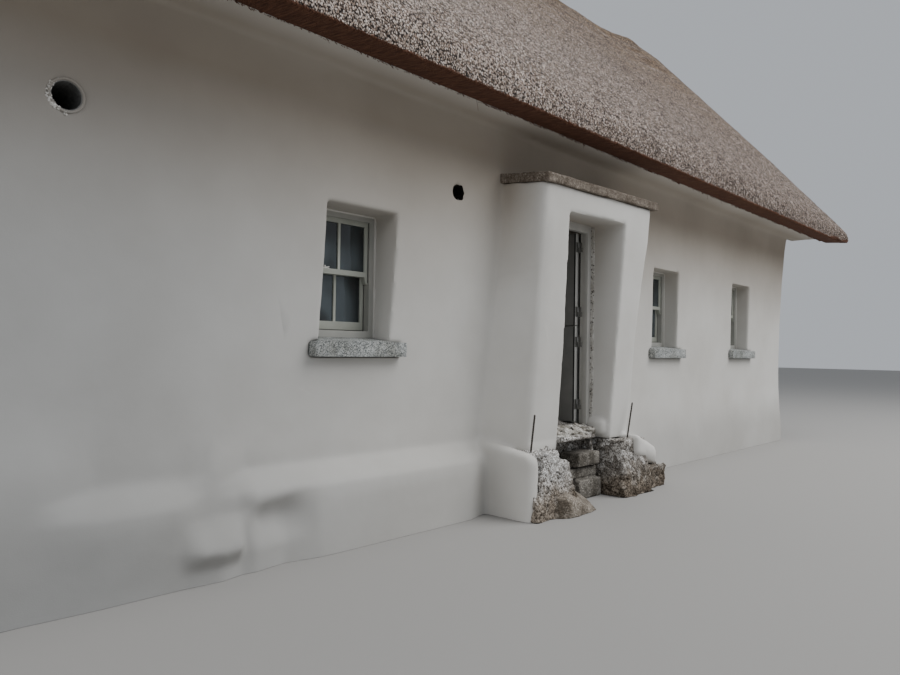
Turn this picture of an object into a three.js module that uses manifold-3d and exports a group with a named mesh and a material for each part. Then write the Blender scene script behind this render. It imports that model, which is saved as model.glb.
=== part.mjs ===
// Thatched cottage with a half-door behind a small rendered porch.
// Millimetres. +X runs along the house, the front faces -Y, +Z is up.
// The origin lies under the middle of the ridge, at the lowest ground.
import * as THREE from "three";
import { mergeVertices } from "three/addons/utils/BufferGeometryUtils.js";
import Module from "manifold-3d";

const wasm = await Module();
wasm.setup();

// Driving dimensions

const GAP = 0.3;

const WALL_HALF_LENGTH = 6880;
const WALL_HALF_DEPTH = 2860;
const WALL_THICKNESS = 600;
const CORNER_RADIUS = 130;
const FLOOR_TOP = 714;
const FLOOR_THICKNESS = 100;
const SOFFIT_Z = 3485;

const ROOF_SLOPE = 1.118;
const RIDGE_Z = 7720;
const UNDERSIDE_APEX_Z = 7120;
const EAVES_ARRIS_Y = 3557;
const EAVES_ARRIS_Z = 3451;
const EAVES_INNER_Y = 3251;
const VERGE_X = 7716;
const VERGE_RADIUS = 150;
const SOFFIT_HALF_LENGTH = 7415;
const RIDGE_SAG = { depth: 110, start: 6530, run: 1200 };
const RIDGE_BUMP = { height: 68, x: 6450, width: 210 };
const RIDGE_STATIONS = [6900, 6700, 6480, 6250, 5850, 5300, 4200, 2800, 1400];
const CORNER_FLARE = { length: 280, depth: 80, startX: 6850, startY: 2000, lip: 200 };
const CORNER_FALL = { depth: 100, startY: 2900, run: 600 };
const RIDGE_CAP_HALF = 420;
const RIDGE_CAP_THICKNESS = 130;
// The roll on the ridge: half-widths of its flanks and its crown, and their height over the slope.
const RIDGE_ROLL = { flank: 170, flankRise: 6, crown: 60, crownDrop: 26 };
const SLOPE_LEVELS_Y = [1200, 2200, 3150];
const SLOPE_CROWN = 18;
const EAVES_ROLL = [
  [3440, 3835],
  [3530, 3690],
  [3556, 3560],
];

const WINDOW_WIDTH = 688;
const WINDOW_SILL_Z = 1539;
const WINDOW_HEAD_Z = 2513;
const WINDOW_REVEAL = 188;
const FRONT_WINDOW_XS = [-2561, 2505, 4989];
const REAR_WINDOW_XS = [3300, -3300];
const SILL_HEIGHT = 113;
const SILL_OVERHANG_LEFT = 62;
const SILL_OVERHANG_RIGHT = 130;
const SILL_PROJECTION = 50;
const SILL_FALL = 32;

const PASSAGE_LEFT = -455;
const PASSAGE_RIGHT = 473;
const PASSAGE_HEAD_Z = 2776;
const PORCH_OPENING_TOP = { left: -517, right: 512, z: 2750 };
const PORCH_BASE_Z = 700;
const PORCH_TOP_Z = 2960;
const PORCH_FRONT_Y = { base: -3265, top: -3422 };
const PORCH_LEFT_X = -915;
const PORCH_SPLAY = { base: 170, top: 40 };
const PORCH_RADIUS = 70;
const PORCH_FOOT_Z = 570;
// Heights and positions of the right edge of the porch, which bulges at the top and the foot.
const PORCH_RIGHT_PROFILE = [
  [PORCH_FOOT_Z, 852],
  [760, 896],
  [950, 920],
  [1250, 925],
  [1550, 920],
  [1950, 950],
  [2300, 990],
  [2620, 1026],
  [PORCH_TOP_Z, 1036],
];
const CAP_THICKNESS = 85;

const FRAME_FRONT_Y = -3026;
const FRAME_BACK_Y = -2915;
const JAMB_LEFT = 50;
const JAMB_RIGHT = 53;
const FRAME_HEAD = 66;
const THRESHOLD_Z = 700;
const STOP_DEPTH = 57;
const STOP_WIDTH = 12;

const HINGE_PIN = { x: 420, y: -2907 };
const HINGE_RADIUS = 6.7;
const HINGE_HEIGHT = 104;
const HINGE_ZS = { lower: [903, 1558], upper: [1876, 2557] };
const LEAF_THICKNESS = 50;
const LEAF_WIDTH = 810;
const LEAF_CLEARANCE = 5;
const LOWER_LEAF_Z = [722, 1725];
const UPPER_LEAF_Z = [1733, 2703];

const VENT = { x: -4630, z: 2785, radius: 80, bore: 76 };
const CORE_HOLE = { x: -1517, z: 2806, radius: 64 };
const BAR_RADIUS = 6;
const BAR_EMBEDDED = 140;

// Materials

const paint = (color, roughness, metalness = 0) =>
  new THREE.MeshStandardMaterial({ color, roughness, metalness });
const limeRender = paint(0xd2cfc8, 0.9);
const limeSoffit = paint(0xcfcac1, 0.9);
const reedThatch = paint(0x9a8674, 0.95);
const granite = paint(0x9d9c98, 0.8);
const capStone = paint(0x7d7468, 0.9);
const rubble = paint(0x8a8378, 0.95);
const concrete = paint(0x9a9791, 0.9);
const sashPaint = paint(0x8a8d84, 0.5);
const doorPaint = paint(0x4a4a47, 0.5);
const framePaint = paint(0x86867f, 0.5);
const glassPane = paint(0x3c4a55, 0.1);
const steel = paint(0x6c6b68, 0.4, 0.8);
const rustySteel = paint(0x6e4a34, 0.8, 0.4);
const ventPlastic = paint(0x77797a, 0.5);

// Solids

function toManifold(geometry) {
  const bare = geometry.clone();
  bare.deleteAttribute("normal");
  bare.deleteAttribute("uv");
  const merged = mergeVertices(bare, 1e-3);
  return new wasm.Manifold(
    new wasm.Mesh({
      numProp: 3,
      vertProperties: merged.attributes.position.array,
      triVerts: new Uint32Array(merged.index.array),
    }),
  );
}

function toGeometry(solid) {
  const data = solid.getMesh();
  const geometry = new THREE.BufferGeometry();
  geometry.setAttribute("position", new THREE.BufferAttribute(data.vertProperties, 3));
  geometry.setIndex(new THREE.BufferAttribute(data.triVerts, 1));
  return geometry;
}

function reshape(geometry, move) {
  const position = geometry.attributes.position;
  for (let i = 0; i < position.count; i++) {
    position.setXYZ(i, ...move(position.getX(i), position.getY(i), position.getZ(i)));
  }
  return geometry;
}

const clamp = (value, low = 0, high = 1) => Math.min(Math.max(value, low), high);
const mix = (a, b, t) => a + (b - a) * t;
const smooth = (t) => clamp(t) ** 2 * (3 - 2 * clamp(t));
const bell = (x, centre, width) => Math.exp(-(((x - centre) / width) ** 2));

// An axis-parallel block between two corners.
function block([x0, y0, z0], [x1, y1, z1]) {
  const geometry = new THREE.BoxGeometry(x1 - x0, y1 - y0, z1 - z0);
  geometry.translate((x0 + x1) / 2, (y0 + y1) / 2, (z0 + z1) / 2);
  return toManifold(geometry);
}

// The main body of a cut solid, without the slivers that a cut leaves.
const mainBody = (solid) =>
  solid.decompose().reduce((best, piece) => (piece.volume() > best.volume() ? piece : best));

function polygon(points) {
  return new THREE.Shape(points.map(([a, b]) => new THREE.Vector2(a, b)));
}

// A section in Y and Z drawn along X, with one ring of vertices at each station.
function alongX(points, stations) {
  const steps = stations.length - 1;
  const geometry = new THREE.ExtrudeGeometry(polygon(points), {
    depth: steps,
    steps,
    bevelEnabled: false,
  });
  return reshape(geometry, (a, b, c) => [stations[Math.round(c)], a, b]);
}

// A section in X and Z drawn along Y, with falling stations.
function alongY(points, stations) {
  const steps = stations.length - 1;
  const geometry = new THREE.ExtrudeGeometry(polygon(points), {
    depth: steps,
    steps,
    bevelEnabled: false,
  });
  return reshape(geometry, (a, b, c) => [a, stations[Math.round(c)], b]);
}

// A plan in X and Y drawn upwards.
function upwards(points, z0, z1, steps = 1) {
  const geometry = new THREE.ExtrudeGeometry(polygon(points), {
    depth: z1 - z0,
    steps,
    bevelEnabled: false,
  });
  geometry.translate(0, 0, z0);
  return geometry;
}

function even(start, end, count) {
  return Array.from({ length: count + 1 }, (_, i) => mix(start, end, i / count));
}

const house = new THREE.Group();

function place(parent, name, shape, material) {
  const geometry = shape.isBufferGeometry ? shape : toGeometry(shape);
  const mesh = new THREE.Mesh(geometry, material);
  mesh.name = name;
  parent.add(mesh);
  return mesh;
}

// Roof surfaces

const undersideZ = (y) => UNDERSIDE_APEX_Z - ROOF_SLOPE * Math.abs(y);
const topZ = (y) => RIDGE_Z - ROOF_SLOPE * Math.abs(y);

// The ridge sags between the gables and rises a little over each gable wall.
function ridgeDrop(x, y) {
  const reach = clamp(1 - Math.abs(y) / EAVES_ARRIS_Y);
  const sag = RIDGE_SAG.depth * smooth((RIDGE_SAG.start - Math.abs(x)) / RIDGE_SAG.run);
  const bump = RIDGE_BUMP.height * bell(Math.abs(x), RIDGE_BUMP.x, RIDGE_BUMP.width);
  return reach * (sag - bump);
}

// The thatch sweeps out lengthways and forward at the four corners of the eaves.
function cornerFlare(x, y) {
  const down = smooth((Math.abs(y) - CORNER_FLARE.startY) / (EAVES_ARRIS_Y - CORNER_FLARE.startY));
  const out = smooth((Math.abs(x) - CORNER_FLARE.startX) / (VERGE_X - CORNER_FLARE.startX));
  const atEaves = clamp((Math.abs(y) - EAVES_INNER_Y) / CORNER_FLARE.lip);
  return {
    x: Math.sign(x) * CORNER_FLARE.length * down * out,
    y: Math.sign(y) * CORNER_FLARE.depth * out * atEaves,
    fall: CORNER_FALL.depth * out * clamp((Math.abs(y) - CORNER_FALL.startY) / CORNER_FALL.run),
  };
}

// Depth by which the thatch rounds off towards each verge.
function vergeRound(x) {
  const into = Math.abs(x) - (VERGE_X - VERGE_RADIUS);
  if (into <= 0) {
    return 0;
  }
  return VERGE_RADIUS - Math.sqrt(Math.max(VERGE_RADIUS ** 2 - into ** 2, 0));
}

// Wall faces

// Height and outward offset of the front face, left of the porch, with the ledge of the plinth.
const FRONT_LEFT_PROFILE = [
  [0, 85],
  [220, 82],
  [400, 76],
  [500, 58],
  [560, 5],
  [640, -52],
  [900, -55],
  [1180, -28],
  [1500, 0],
  [1900, 38],
  [2300, 70],
  [2700, 82],
  [3250, 83],
  [SOFFIT_Z, 83],
];

// The foot of the same face where it has no ledge.
const FRONT_FLUSH_FOOT = [
  [0, 85],
  [220, 68],
  [400, 50],
  [500, 40],
  [560, 34],
  [640, 26],
  [900, 2],
  [1180, -28],
];

// The same heights right of the porch, where the wall is nearly upright.
const FRONT_RIGHT_PROFILE = [
  [0, 30],
  [220, 22],
  [400, 6],
  [500, -4],
  [560, -8],
  [640, -12],
  [900, -11],
  [1180, -6],
  [1500, 0],
  [1900, 8],
  [2300, 17],
  [2700, 27],
  [3250, 43],
  [SOFFIT_Z, 50],
];
const PROFILE_CHANGE_X = 900;

// The ledge dies out on the left, and breaks off above a boss. Right of the boss lies a hollow.
const LEDGE_END = { x: -4500, run: 300 };
const LEDGE_BREAK = { x: -3700, width: 170 };
const BOSS = { x: -3700, width: 150, out: 60, top: 330, fade: 120 };
const HOLLOW = { x: -3200, width: 190, out: -45, top: 520, fade: 120 };
// Render thrown against the foot of the wall, right of the porch.
const LUMP = { x: 1150, width: 420, out: 150, top: 560, fade: 160 };

function profileAt(profile, z) {
  const last = profile.length - 1;
  if (z >= profile[last][0]) {
    return profile[last][1];
  }
  const next = Math.max(profile.findIndex(([height]) => height > z), 1);
  const [z0, a] = profile[next - 1];
  const [z1, b] = profile[next];
  return mix(a, b, (z - z0) / (z1 - z0));
}

const formOut = (form, x, z) =>
  form.out * bell(x, form.x, form.width) * smooth((form.top - z) / form.fade);

function cornerRound(along, half) {
  const into = Math.abs(along) - (half - CORNER_RADIUS);
  if (into <= 0) {
    return 0;
  }
  return CORNER_RADIUS - Math.sqrt(Math.max(CORNER_RADIUS ** 2 - into ** 2, 0));
}

function frontFaceY(x, z) {
  const side = smooth((x + PROFILE_CHANGE_X) / (2 * PROFILE_CHANGE_X));
  const ended = smooth((LEDGE_END.x - x) / LEDGE_END.run + 0.5);
  const flush = Math.max(ended, bell(x, LEDGE_BREAK.x, LEDGE_BREAK.width));
  const ledged = profileAt(FRONT_LEFT_PROFILE, z);
  const isFoot = z < FRONT_FLUSH_FOOT.at(-1)[0];
  const left = isFoot ? mix(ledged, profileAt(FRONT_FLUSH_FOOT, z), flush) : ledged;
  const right = profileAt(FRONT_RIGHT_PROFILE, z);
  const leftForms = formOut(BOSS, x, z) + formOut(HOLLOW, x, z);
  const out = mix(left + leftForms, right + formOut(LUMP, x, z), side);
  return -(WALL_HALF_DEPTH + out) + cornerRound(x, WALL_HALF_LENGTH);
}

// The gables stand on a low plinth and cove out below the eaves.
const GABLE_PROFILE = [
  [0, 50],
  [480, 66],
  [780, 52],
  [980, -14],
  [1800, -20],
  [2400, 14],
  [2900, 58],
  [3250, 120],
  [SOFFIT_Z, 200],
];
const REAR_BATTER = { bow: 34, waist: 1500, height: 2000, lean: 8 };
const rearBatter = (z) =>
  REAR_BATTER.bow * ((z - REAR_BATTER.waist) / REAR_BATTER.height) ** 2 +
  REAR_BATTER.lean * (z / REAR_BATTER.height);
const rearFaceY = (x, z) => WALL_HALF_DEPTH + rearBatter(z) - cornerRound(x, WALL_HALF_LENGTH);
const gableOut = (z) => profileAt(GABLE_PROFILE, z);

const INNER_Y = WALL_HALF_DEPTH - WALL_THICKNESS;
const INNER_X = WALL_HALF_LENGTH - WALL_THICKNESS;
const CORNER_STATIONS = [0, 6, 30, 75, CORNER_RADIUS].map((d) => WALL_HALF_LENGTH - d);
// A plain stretch of wall, whose section is drawn before each station takes its own shape.
const SECTION_X = -2600;

// A long wall: its outer face follows faceY, and its head follows the thatch.
function longWall(levels, side, faceY, stations) {
  const outer = levels.map((z) => [faceY(SECTION_X, z), z]);
  const headY = faceY(SECTION_X, SOFFIT_Z);
  const section = [
    ...outer,
    [headY, undersideZ(headY) - GAP],
    [side * INNER_Y, undersideZ(INNER_Y) - GAP],
    ...GABLE_PROFILE.map(([z]) => [side * INNER_Y, z]).toReversed(),
  ];
  const geometry = alongX(section, stations);
  return toManifold(
    reshape(geometry, (x, y, z) => {
      const isHead = z > SOFFIT_Z + 1;
      const level = isHead ? SOFFIT_Z : z;
      const end = clamp((Math.abs(x) - WALL_HALF_LENGTH + 2 * CORNER_RADIUS) / CORNER_RADIUS);
      const movedX = x + Math.sign(x) * end * gableOut(level);
      if (Math.abs(y) < INNER_Y + 1) {
        return [movedX, y, z];
      }
      const movedY = faceY(x, level);
      return [movedX, movedY, isHead ? undersideZ(movedY) - GAP : z];
    }),
  );
}

const frontLevels = FRONT_LEFT_PROFILE.map(([z]) => z);
const FIELD_HALF_LENGTH = 6200;
const LEDGE_STATIONS = [-5400, -4700, -4400, -4150, -3900, -3700, -3450, -3200, -2950, -2400, -1750];
const PORCH_STATIONS = [-1100, -700, PASSAGE_LEFT, 0, PASSAGE_RIGHT, 760, 1100];
const leftStations = [...CORNER_STATIONS.map((x) => -x), -FIELD_HALF_LENGTH, ...LEDGE_STATIONS];
const rightStations = [
  ...even(PORCH_STATIONS.at(-1), FIELD_HALF_LENGTH, 7).slice(1),
  ...CORNER_STATIONS.toReversed(),
];
const frontStations = [...leftStations, ...PORCH_STATIONS, ...rightStations];
const frontWall = longWall(frontLevels, -1, frontFaceY, frontStations);
const rearWall = longWall(
  GABLE_PROFILE.map(([z]) => z),
  1,
  rearFaceY,
  [...CORNER_STATIONS.map((x) => -x), -4000, 0, 4000, ...CORNER_STATIONS.toReversed()],
);

// Window openings

// A window faces outwards along -Y at the front and +Y at the rear; this group turns it.
function windowGroup(x, side) {
  const group = new THREE.Group();
  group.position.set(x, 0, 0);
  group.rotation.z = side < 0 ? 0 : Math.PI;
  house.add(group);
  return group;
}

const FRAME_DEPTH = 112;
const WINDOW_FRAME_Y = -WALL_HALF_DEPTH + WINDOW_REVEAL;
const FRAME_SIDE = 55;
const FRAME_TOP = 49;
const FRAME_BOTTOM = 53;
const SASH_STILE = 34;
const SASH_TOP_RAIL = 38;
const MEETING_RAIL = 40;
const SASH_BOTTOM_RAIL = 71;
const SASH_THICKNESS = 42;
const HORN_LENGTH = 55;
const HORN_TIP = 20;
const SASH_BAR = 22;
const GLASS_THICKNESS = 4;
const SASH_SETBACK = 16;
const BAR_SETBACK = 6;
const BAR_LAP = 10;
const CUT_LAP = 9;
const OPENING_FRONT_Y = -3100;
const OPENING_BACK_Y = -INNER_Y + 200;
const SILL_TAIL = 60;
const SILL_STEP = 4;
const SILL_SEAT_LAP = 10;

const sillLeft = -WINDOW_WIDTH / 2 - SILL_OVERHANG_LEFT;
const sillRight = WINDOW_WIDTH / 2 + SILL_OVERHANG_RIGHT;
const sillBackY = WINDOW_FRAME_Y + SILL_TAIL;

function windowVoid() {
  const half = WINDOW_WIDTH / 2;
  const light = block(
    [-half, OPENING_FRONT_Y, WINDOW_SILL_Z],
    [half, OPENING_BACK_Y, WINDOW_HEAD_Z],
  );
  const bed = block(
    [sillLeft - GAP, OPENING_FRONT_Y, WINDOW_SILL_Z - SILL_FALL - SILL_HEIGHT - GAP],
    [sillRight + GAP, sillBackY + GAP, WINDOW_SILL_Z - SILL_FALL],
  );
  const seat = block(
    [-half, OPENING_FRONT_Y, WINDOW_SILL_Z - SILL_FALL - SILL_SEAT_LAP],
    [half, sillBackY + GAP, WINDOW_SILL_Z + SILL_SEAT_LAP],
  );
  return light.add(bed).add(seat);
}

function cutWindows(wall, xs, side) {
  let cut = wall;
  for (const x of xs) {
    const opening = windowVoid();
    const turned = side < 0 ? opening : opening.rotate([0, 0, 180]);
    cut = cut.subtract(turned.translate([x, 0, 0]));
  }
  return cut;
}

function sashSolid(z0, z1, lowRail, highRail, y0, y1) {
  const half = WINDOW_WIDTH / 2 - FRAME_SIDE - GAP;
  const glassHalf = half - SASH_STILE;
  const body = block([-half, y0, z0], [half, y1, z1]);
  const pane = block(
    [-glassHalf, y0 - CUT_LAP, z0 + lowRail],
    [glassHalf, y1 + CUT_LAP, z1 - highRail],
  );
  const bar = block(
    [-SASH_BAR / 2, y0 + BAR_SETBACK, z0 + BAR_LAP],
    [SASH_BAR / 2, y1, z1 - BAR_LAP],
  );
  return body.subtract(pane).add(bar);
}

function addWindow(name, x, side) {
  const group = windowGroup(x, side);
  const half = WINDOW_WIDTH / 2 - GAP;
  const sillTop = WINDOW_SILL_Z + GAP;
  const head = WINDOW_HEAD_Z - GAP;
  const y0 = WINDOW_FRAME_Y;
  const y1 = y0 + FRAME_DEPTH;
  const lowZ = sillTop + FRAME_BOTTOM;
  const highZ = head - FRAME_TOP;
  const inner = half - FRAME_SIDE;
  const frame = block([-half, y0, sillTop], [half, y1, head]).subtract(
    block([-inner, y0 - CUT_LAP, lowZ], [inner, y1 + CUT_LAP, highZ]),
  );
  place(group, name + "_frame", frame, sashPaint);

  const upperY0 = y0 + SASH_SETBACK;
  const upperY1 = upperY0 + SASH_THICKNESS;
  const glassY0 = upperY1 + GAP;
  const glassY1 = glassY0 + GLASS_THICKNESS;
  const lowerY0 = glassY1 + GAP;
  const lowerY1 = lowerY0 + SASH_THICKNESS;
  const paneHeight = (highZ - lowZ - SASH_TOP_RAIL - MEETING_RAIL - SASH_BOTTOM_RAIL) / 2;
  const meetLow = lowZ + SASH_BOTTOM_RAIL + paneHeight;
  const meetHigh = meetLow + MEETING_RAIL;
  const horn = (way) => {
    const outer = way * (inner - 2 * GAP);
    const points = [
      [outer, meetLow + 1],
      [outer, meetLow - HORN_LENGTH],
      [outer - way * HORN_TIP, meetLow - HORN_LENGTH],
      [outer - way * SASH_STILE, meetLow + 1],
    ];
    return toManifold(alongY(way > 0 ? points : points.toReversed(), [upperY1, upperY0]));
  };
  const upper = sashSolid(meetLow, highZ - GAP, MEETING_RAIL, SASH_TOP_RAIL, upperY0, upperY1)
    .add(horn(-1))
    .add(horn(1));
  const lower = sashSolid(lowZ + GAP, meetHigh, SASH_BOTTOM_RAIL, MEETING_RAIL, lowerY0, lowerY1);
  place(group, name + "_upper_sash", upper, sashPaint);
  place(group, name + "_lower_sash", lower, sashPaint);
  const glass = block([-inner + GAP, glassY0, lowZ + GAP], [inner - GAP, glassY1, highZ - GAP]);
  place(group, name + "_glass", glass, glassPane);

  const frontY = -WALL_HALF_DEPTH - SILL_PROJECTION;
  const sillFrontZ = WINDOW_SILL_Z - SILL_FALL;
  const slope = [
    [frontY, sillFrontZ - SILL_HEIGHT],
    [sillBackY, sillFrontZ - SILL_HEIGHT],
    [sillBackY, WINDOW_SILL_Z],
    [WINDOW_FRAME_Y - SILL_STEP, WINDOW_SILL_Z],
    [frontY, sillFrontZ],
  ];
  const lugs = block(
    [sillLeft, frontY, sillFrontZ - SILL_HEIGHT],
    [sillRight, sillBackY, sillFrontZ - GAP],
  );
  const ramp = toManifold(alongX(slope, [-half, half]));
  place(group, name + "_sill", ramp.add(lugs), granite);
}

// Walls

// Reaches past the whole house, for cuts.
const FAR = { x: 8000, y: 4000, top: 9000, under: -10 };
const doorVoid = block([PASSAGE_LEFT, -FAR.y, FAR.under], [PASSAGE_RIGHT, 0, PASSAGE_HEAD_Z]);
const BORE_LENGTH = 2000;

function boreAlongY(x, z, radius) {
  const bore = new THREE.CylinderGeometry(radius, radius, BORE_LENGTH, 24);
  bore.translate(x, -WALL_HALF_DEPTH, z);
  return toManifold(bore);
}

let cutFront = cutWindows(frontWall, FRONT_WINDOW_XS, -1);
cutFront = cutFront
  .subtract(boreAlongY(VENT.x, VENT.z, VENT.radius + GAP))
  .subtract(boreAlongY(CORE_HOLE.x, CORE_HOLE.z, CORE_HOLE.radius));
const pierced = cutFront.subtract(doorVoid);

const leftOfDoor = block([-FAR.x, -FAR.y, FAR.under], [PASSAGE_LEFT, 0, FAR.top]);
const rightOfDoor = block([PASSAGE_RIGHT, -FAR.y, FAR.under], [FAR.x, 0, FAR.top]);
const overDoor = block(
  [PASSAGE_LEFT + GAP, -FAR.y, PASSAGE_HEAD_Z],
  [PASSAGE_RIGHT - GAP, 0, FAR.top],
);
const belowDoor = block(
  [PASSAGE_LEFT + GAP, -FAR.y, FAR.under],
  [PASSAGE_RIGHT - GAP, 0, FLOOR_TOP],
);
place(house, "front_wall_left", pierced.intersect(leftOfDoor), limeRender);
place(house, "front_wall_right", pierced.intersect(rightOfDoor), limeRender);
place(house, "front_wall_over_door", frontWall.intersect(overDoor), limeRender);
place(house, "front_wall_below_door", frontWall.intersect(belowDoor), rubble);
place(house, "rear_wall", cutWindows(rearWall, REAR_WINDOW_XS, 1), limeRender);

function gableWall(side) {
  const reach = INNER_Y - GAP;
  const stations = even(reach, -reach, 6);
  const outer = GABLE_PROFILE.map(([z, out]) => [side * (WALL_HALF_LENGTH + out), z]);
  const eaves = undersideZ(reach) - GAP;
  const top = side * (WALL_HALF_LENGTH + gableOut(SOFFIT_Z));
  const section = [
    ...outer,
    [top, eaves],
    [side * INNER_X, eaves],
    [side * INNER_X, 0],
  ];
  const geometry = alongY(section, stations);
  return toManifold(
    reshape(geometry, (x, y, z) => [x, y, z > SOFFIT_Z + 1 ? undersideZ(y) - GAP : z]),
  );
}

place(house, "left_gable_wall", gableWall(-1), limeRender);
place(house, "right_gable_wall", gableWall(1), limeRender);

const floor = block(
  [-INNER_X + GAP, -INNER_Y + GAP, FLOOR_TOP - FLOOR_THICKNESS],
  [INNER_X - GAP, INNER_Y - GAP, FLOOR_TOP],
);
place(house, "floor_slab", floor, concrete);

FRONT_WINDOW_XS.forEach((x, i) => addWindow("front_window_" + (i + 1), x, -1));
REAR_WINDOW_XS.forEach((x, i) => addWindow("rear_window_" + (i + 1), x, 1));

// Soffits

const SOFFIT_LAP = 40;
const SOFFIT_TIP = 6;

function soffit(side) {
  const wall = side < 0 ? frontWall : rearWall;
  const innerY = WALL_HALF_DEPTH - SOFFIT_LAP;
  const tipY = (UNDERSIDE_APEX_Z - SOFFIT_Z) / ROOF_SLOPE - SOFFIT_TIP;
  const section = [
    [side * innerY, SOFFIT_Z],
    [side * tipY, SOFFIT_Z],
    [side * tipY, undersideZ(tipY) - GAP],
    [side * innerY, undersideZ(innerY) - GAP],
  ];
  const wedge = toManifold(alongX(section, [-SOFFIT_HALF_LENGTH, SOFFIT_HALF_LENGTH]));
  return wedge.subtract(wall).subtract(wall.translate([0, side * GAP, 0]));
}

place(house, "front_soffit", soffit(-1), limeSoffit);
place(house, "rear_soffit", soffit(1), limeSoffit);

// Thatch

const vergeStations = [0, 16, 66, VERGE_RADIUS].map((d) => VERGE_X - d);
const halfRoof = [...vergeStations, ...RIDGE_STATIONS];
const roofStations = [...halfRoof.map((x) => -x), 0, ...halfRoof.toReversed()];
const ridgeSeatZ = (y) => topZ(y) - RIDGE_CAP_THICKNESS;

const SEAT_EDGE_Y = RIDGE_CAP_HALF - 30;
const crownZ = (y) => topZ(y) + SLOPE_CROWN * Math.sin((Math.PI * y) / EAVES_ARRIS_Y);
// Above this height over the underside a point is on the outer face of the thatch.
const OUTER_FACE_Z = 60;
const ROUNDING_RUN = 400;

function thatchSlope(side) {
  const section = [
    [GAP / 2, undersideZ(GAP / 2)],
    [GAP / 2, ridgeSeatZ(0) + RIDGE_CAP_THICKNESS / 3],
    [SEAT_EDGE_Y, ridgeSeatZ(SEAT_EDGE_Y) + RIDGE_CAP_THICKNESS / 2],
    [RIDGE_CAP_HALF + GAP, topZ(RIDGE_CAP_HALF)],
    ...SLOPE_LEVELS_Y.map((y) => [y, crownZ(y)]),
    ...EAVES_ROLL,
    [EAVES_ARRIS_Y, EAVES_ARRIS_Z],
    [EAVES_INNER_Y, undersideZ(EAVES_INNER_Y)],
  ].map(([y, z]) => [side * y, z]);
  const geometry = alongX(section, roofStations);
  const slope = toManifold(
    reshape(geometry, (x, y, z) => {
      const isTop = z > undersideZ(y) + OUTER_FACE_Z;
      const flare = cornerFlare(x, y);
      if (!isTop) {
        return [x + flare.x, y + flare.y, z];
      }
      const share = clamp((z - EAVES_ARRIS_Z) / ROUNDING_RUN);
      const rounded = (vergeRound(x) + flare.fall) * share;
      return [x + flare.x, y + flare.y, z - ridgeDrop(x, y) - rounded];
    }),
  );
  return mainBody(slope.subtract(ridgeCap(GAP)));
}

// How far the grown cap reaches up for each millimetre that it grows.
const CUT_RISE = 100;

// The cap over the ridge; grown, it cuts its own seat in the two slopes.
function ridgeCap(grow = 0) {
  const half = RIDGE_CAP_HALF + grow;
  const under = 2 * grow;
  const over = CUT_RISE * grow;
  const { flank, crown } = RIDGE_ROLL;
  const flankZ = topZ(flank) + RIDGE_ROLL.flankRise + over;
  const crownTopZ = topZ(crown) - RIDGE_ROLL.crownDrop + over;
  const section = [
    [-half, topZ(half) + over],
    [-half, ridgeSeatZ(half) - under],
    [0, ridgeSeatZ(0) - under],
    [half, ridgeSeatZ(half) - under],
    [half, topZ(half) + over],
    [flank, flankZ],
    [crown, crownTopZ],
    [-crown, crownTopZ],
    [-flank, flankZ],
  ];
  const geometry = alongX(section, roofStations);
  return toManifold(
    reshape(geometry, (x, y, z) => [x, y, z - ridgeDrop(x, y) - vergeRound(x)]),
  );
}

place(house, "thatch_front", thatchSlope(-1), reedThatch);
place(house, "thatch_rear", thatchSlope(1), reedThatch);
place(house, "thatch_ridge", ridgeCap(), reedThatch);

// Porch

const porchHeight = (z) => (z - PORCH_BASE_Z) / (PORCH_TOP_Z - PORCH_BASE_Z);
const porchFrontY = (z) => mix(PORCH_FRONT_Y.base, PORCH_FRONT_Y.top, porchHeight(z));
// Corners of the cap stone, and the height and fall of its top from its front left corner.
const CAP_FRONT = { left: -917, right: 1128, y: -3453 };
const CAP_BACK = { left: -975, right: 1150, y: -2800 };
const CAP_TOP = { z: 3025, alongX: 0.023, alongY: 0.09 };
const CAP_WAVE = { front: 4, top: 2.4 };
const PORCH_BACK_Y = -2700;
const PORCH_SEAT_Y = -2790;
const capTopZ = (x, y) =>
  CAP_TOP.z + CAP_TOP.alongX * (x - CAP_FRONT.left) + CAP_TOP.alongY * (y - CAP_FRONT.y);
const capUnderZ = (x, y) => capTopZ(x, y) - CAP_THICKNESS;

// Plan of the porch at its foot, with rounded front corners, as fractions of width and depth.
function porchPlan() {
  const corner = [0, 22.5, 45, 67.5, 90].map((a) => THREE.MathUtils.degToRad(a));
  const r = PORCH_RADIUS;
  const left = PORCH_LEFT_X;
  const right = PORCH_RIGHT_PROFILE[0][1];
  const front = PORCH_FRONT_Y.base;
  return [
    [left, PORCH_BACK_Y],
    ...corner.map((a) => [left + r - r * Math.cos(a), front + r - r * Math.sin(a)]),
    ...corner.toReversed().map((a) => [right - r + r * Math.cos(a), front + r - r * Math.sin(a)]),
    [right, PORCH_BACK_Y],
  ];
}

function porchBlock() {
  const steps = PORCH_RIGHT_PROFILE.length - 1;
  const geometry = upwards(porchPlan(), 0, steps, steps);
  return toManifold(
    reshape(geometry, (x, y, level) => {
      const [z, edge] = PORCH_RIGHT_PROFILE[Math.round(level)];
      const t = porchHeight(z);
      const atWall = y > PORCH_BACK_Y - 1;
      const shift = edge - PORCH_RIGHT_PROFILE[0][1];
      const splay = atWall ? mix(PORCH_SPLAY.base, PORCH_SPLAY.top, clamp(t)) : 0;
      const moveX = x > 0 ? shift + splay : -splay;
      const moveY = atWall ? 0 : porchFrontY(z) - PORCH_FRONT_Y.base;
      const top = z > PORCH_TOP_Z - 1 ? capUnderZ(x + moveX, y + moveY) - GAP : z;
      return [x + moveX, y + moveY, top];
    }),
  );
}

const PASSAGE_CUT = { front: -3500, back: -2600, low: 500 };

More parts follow.
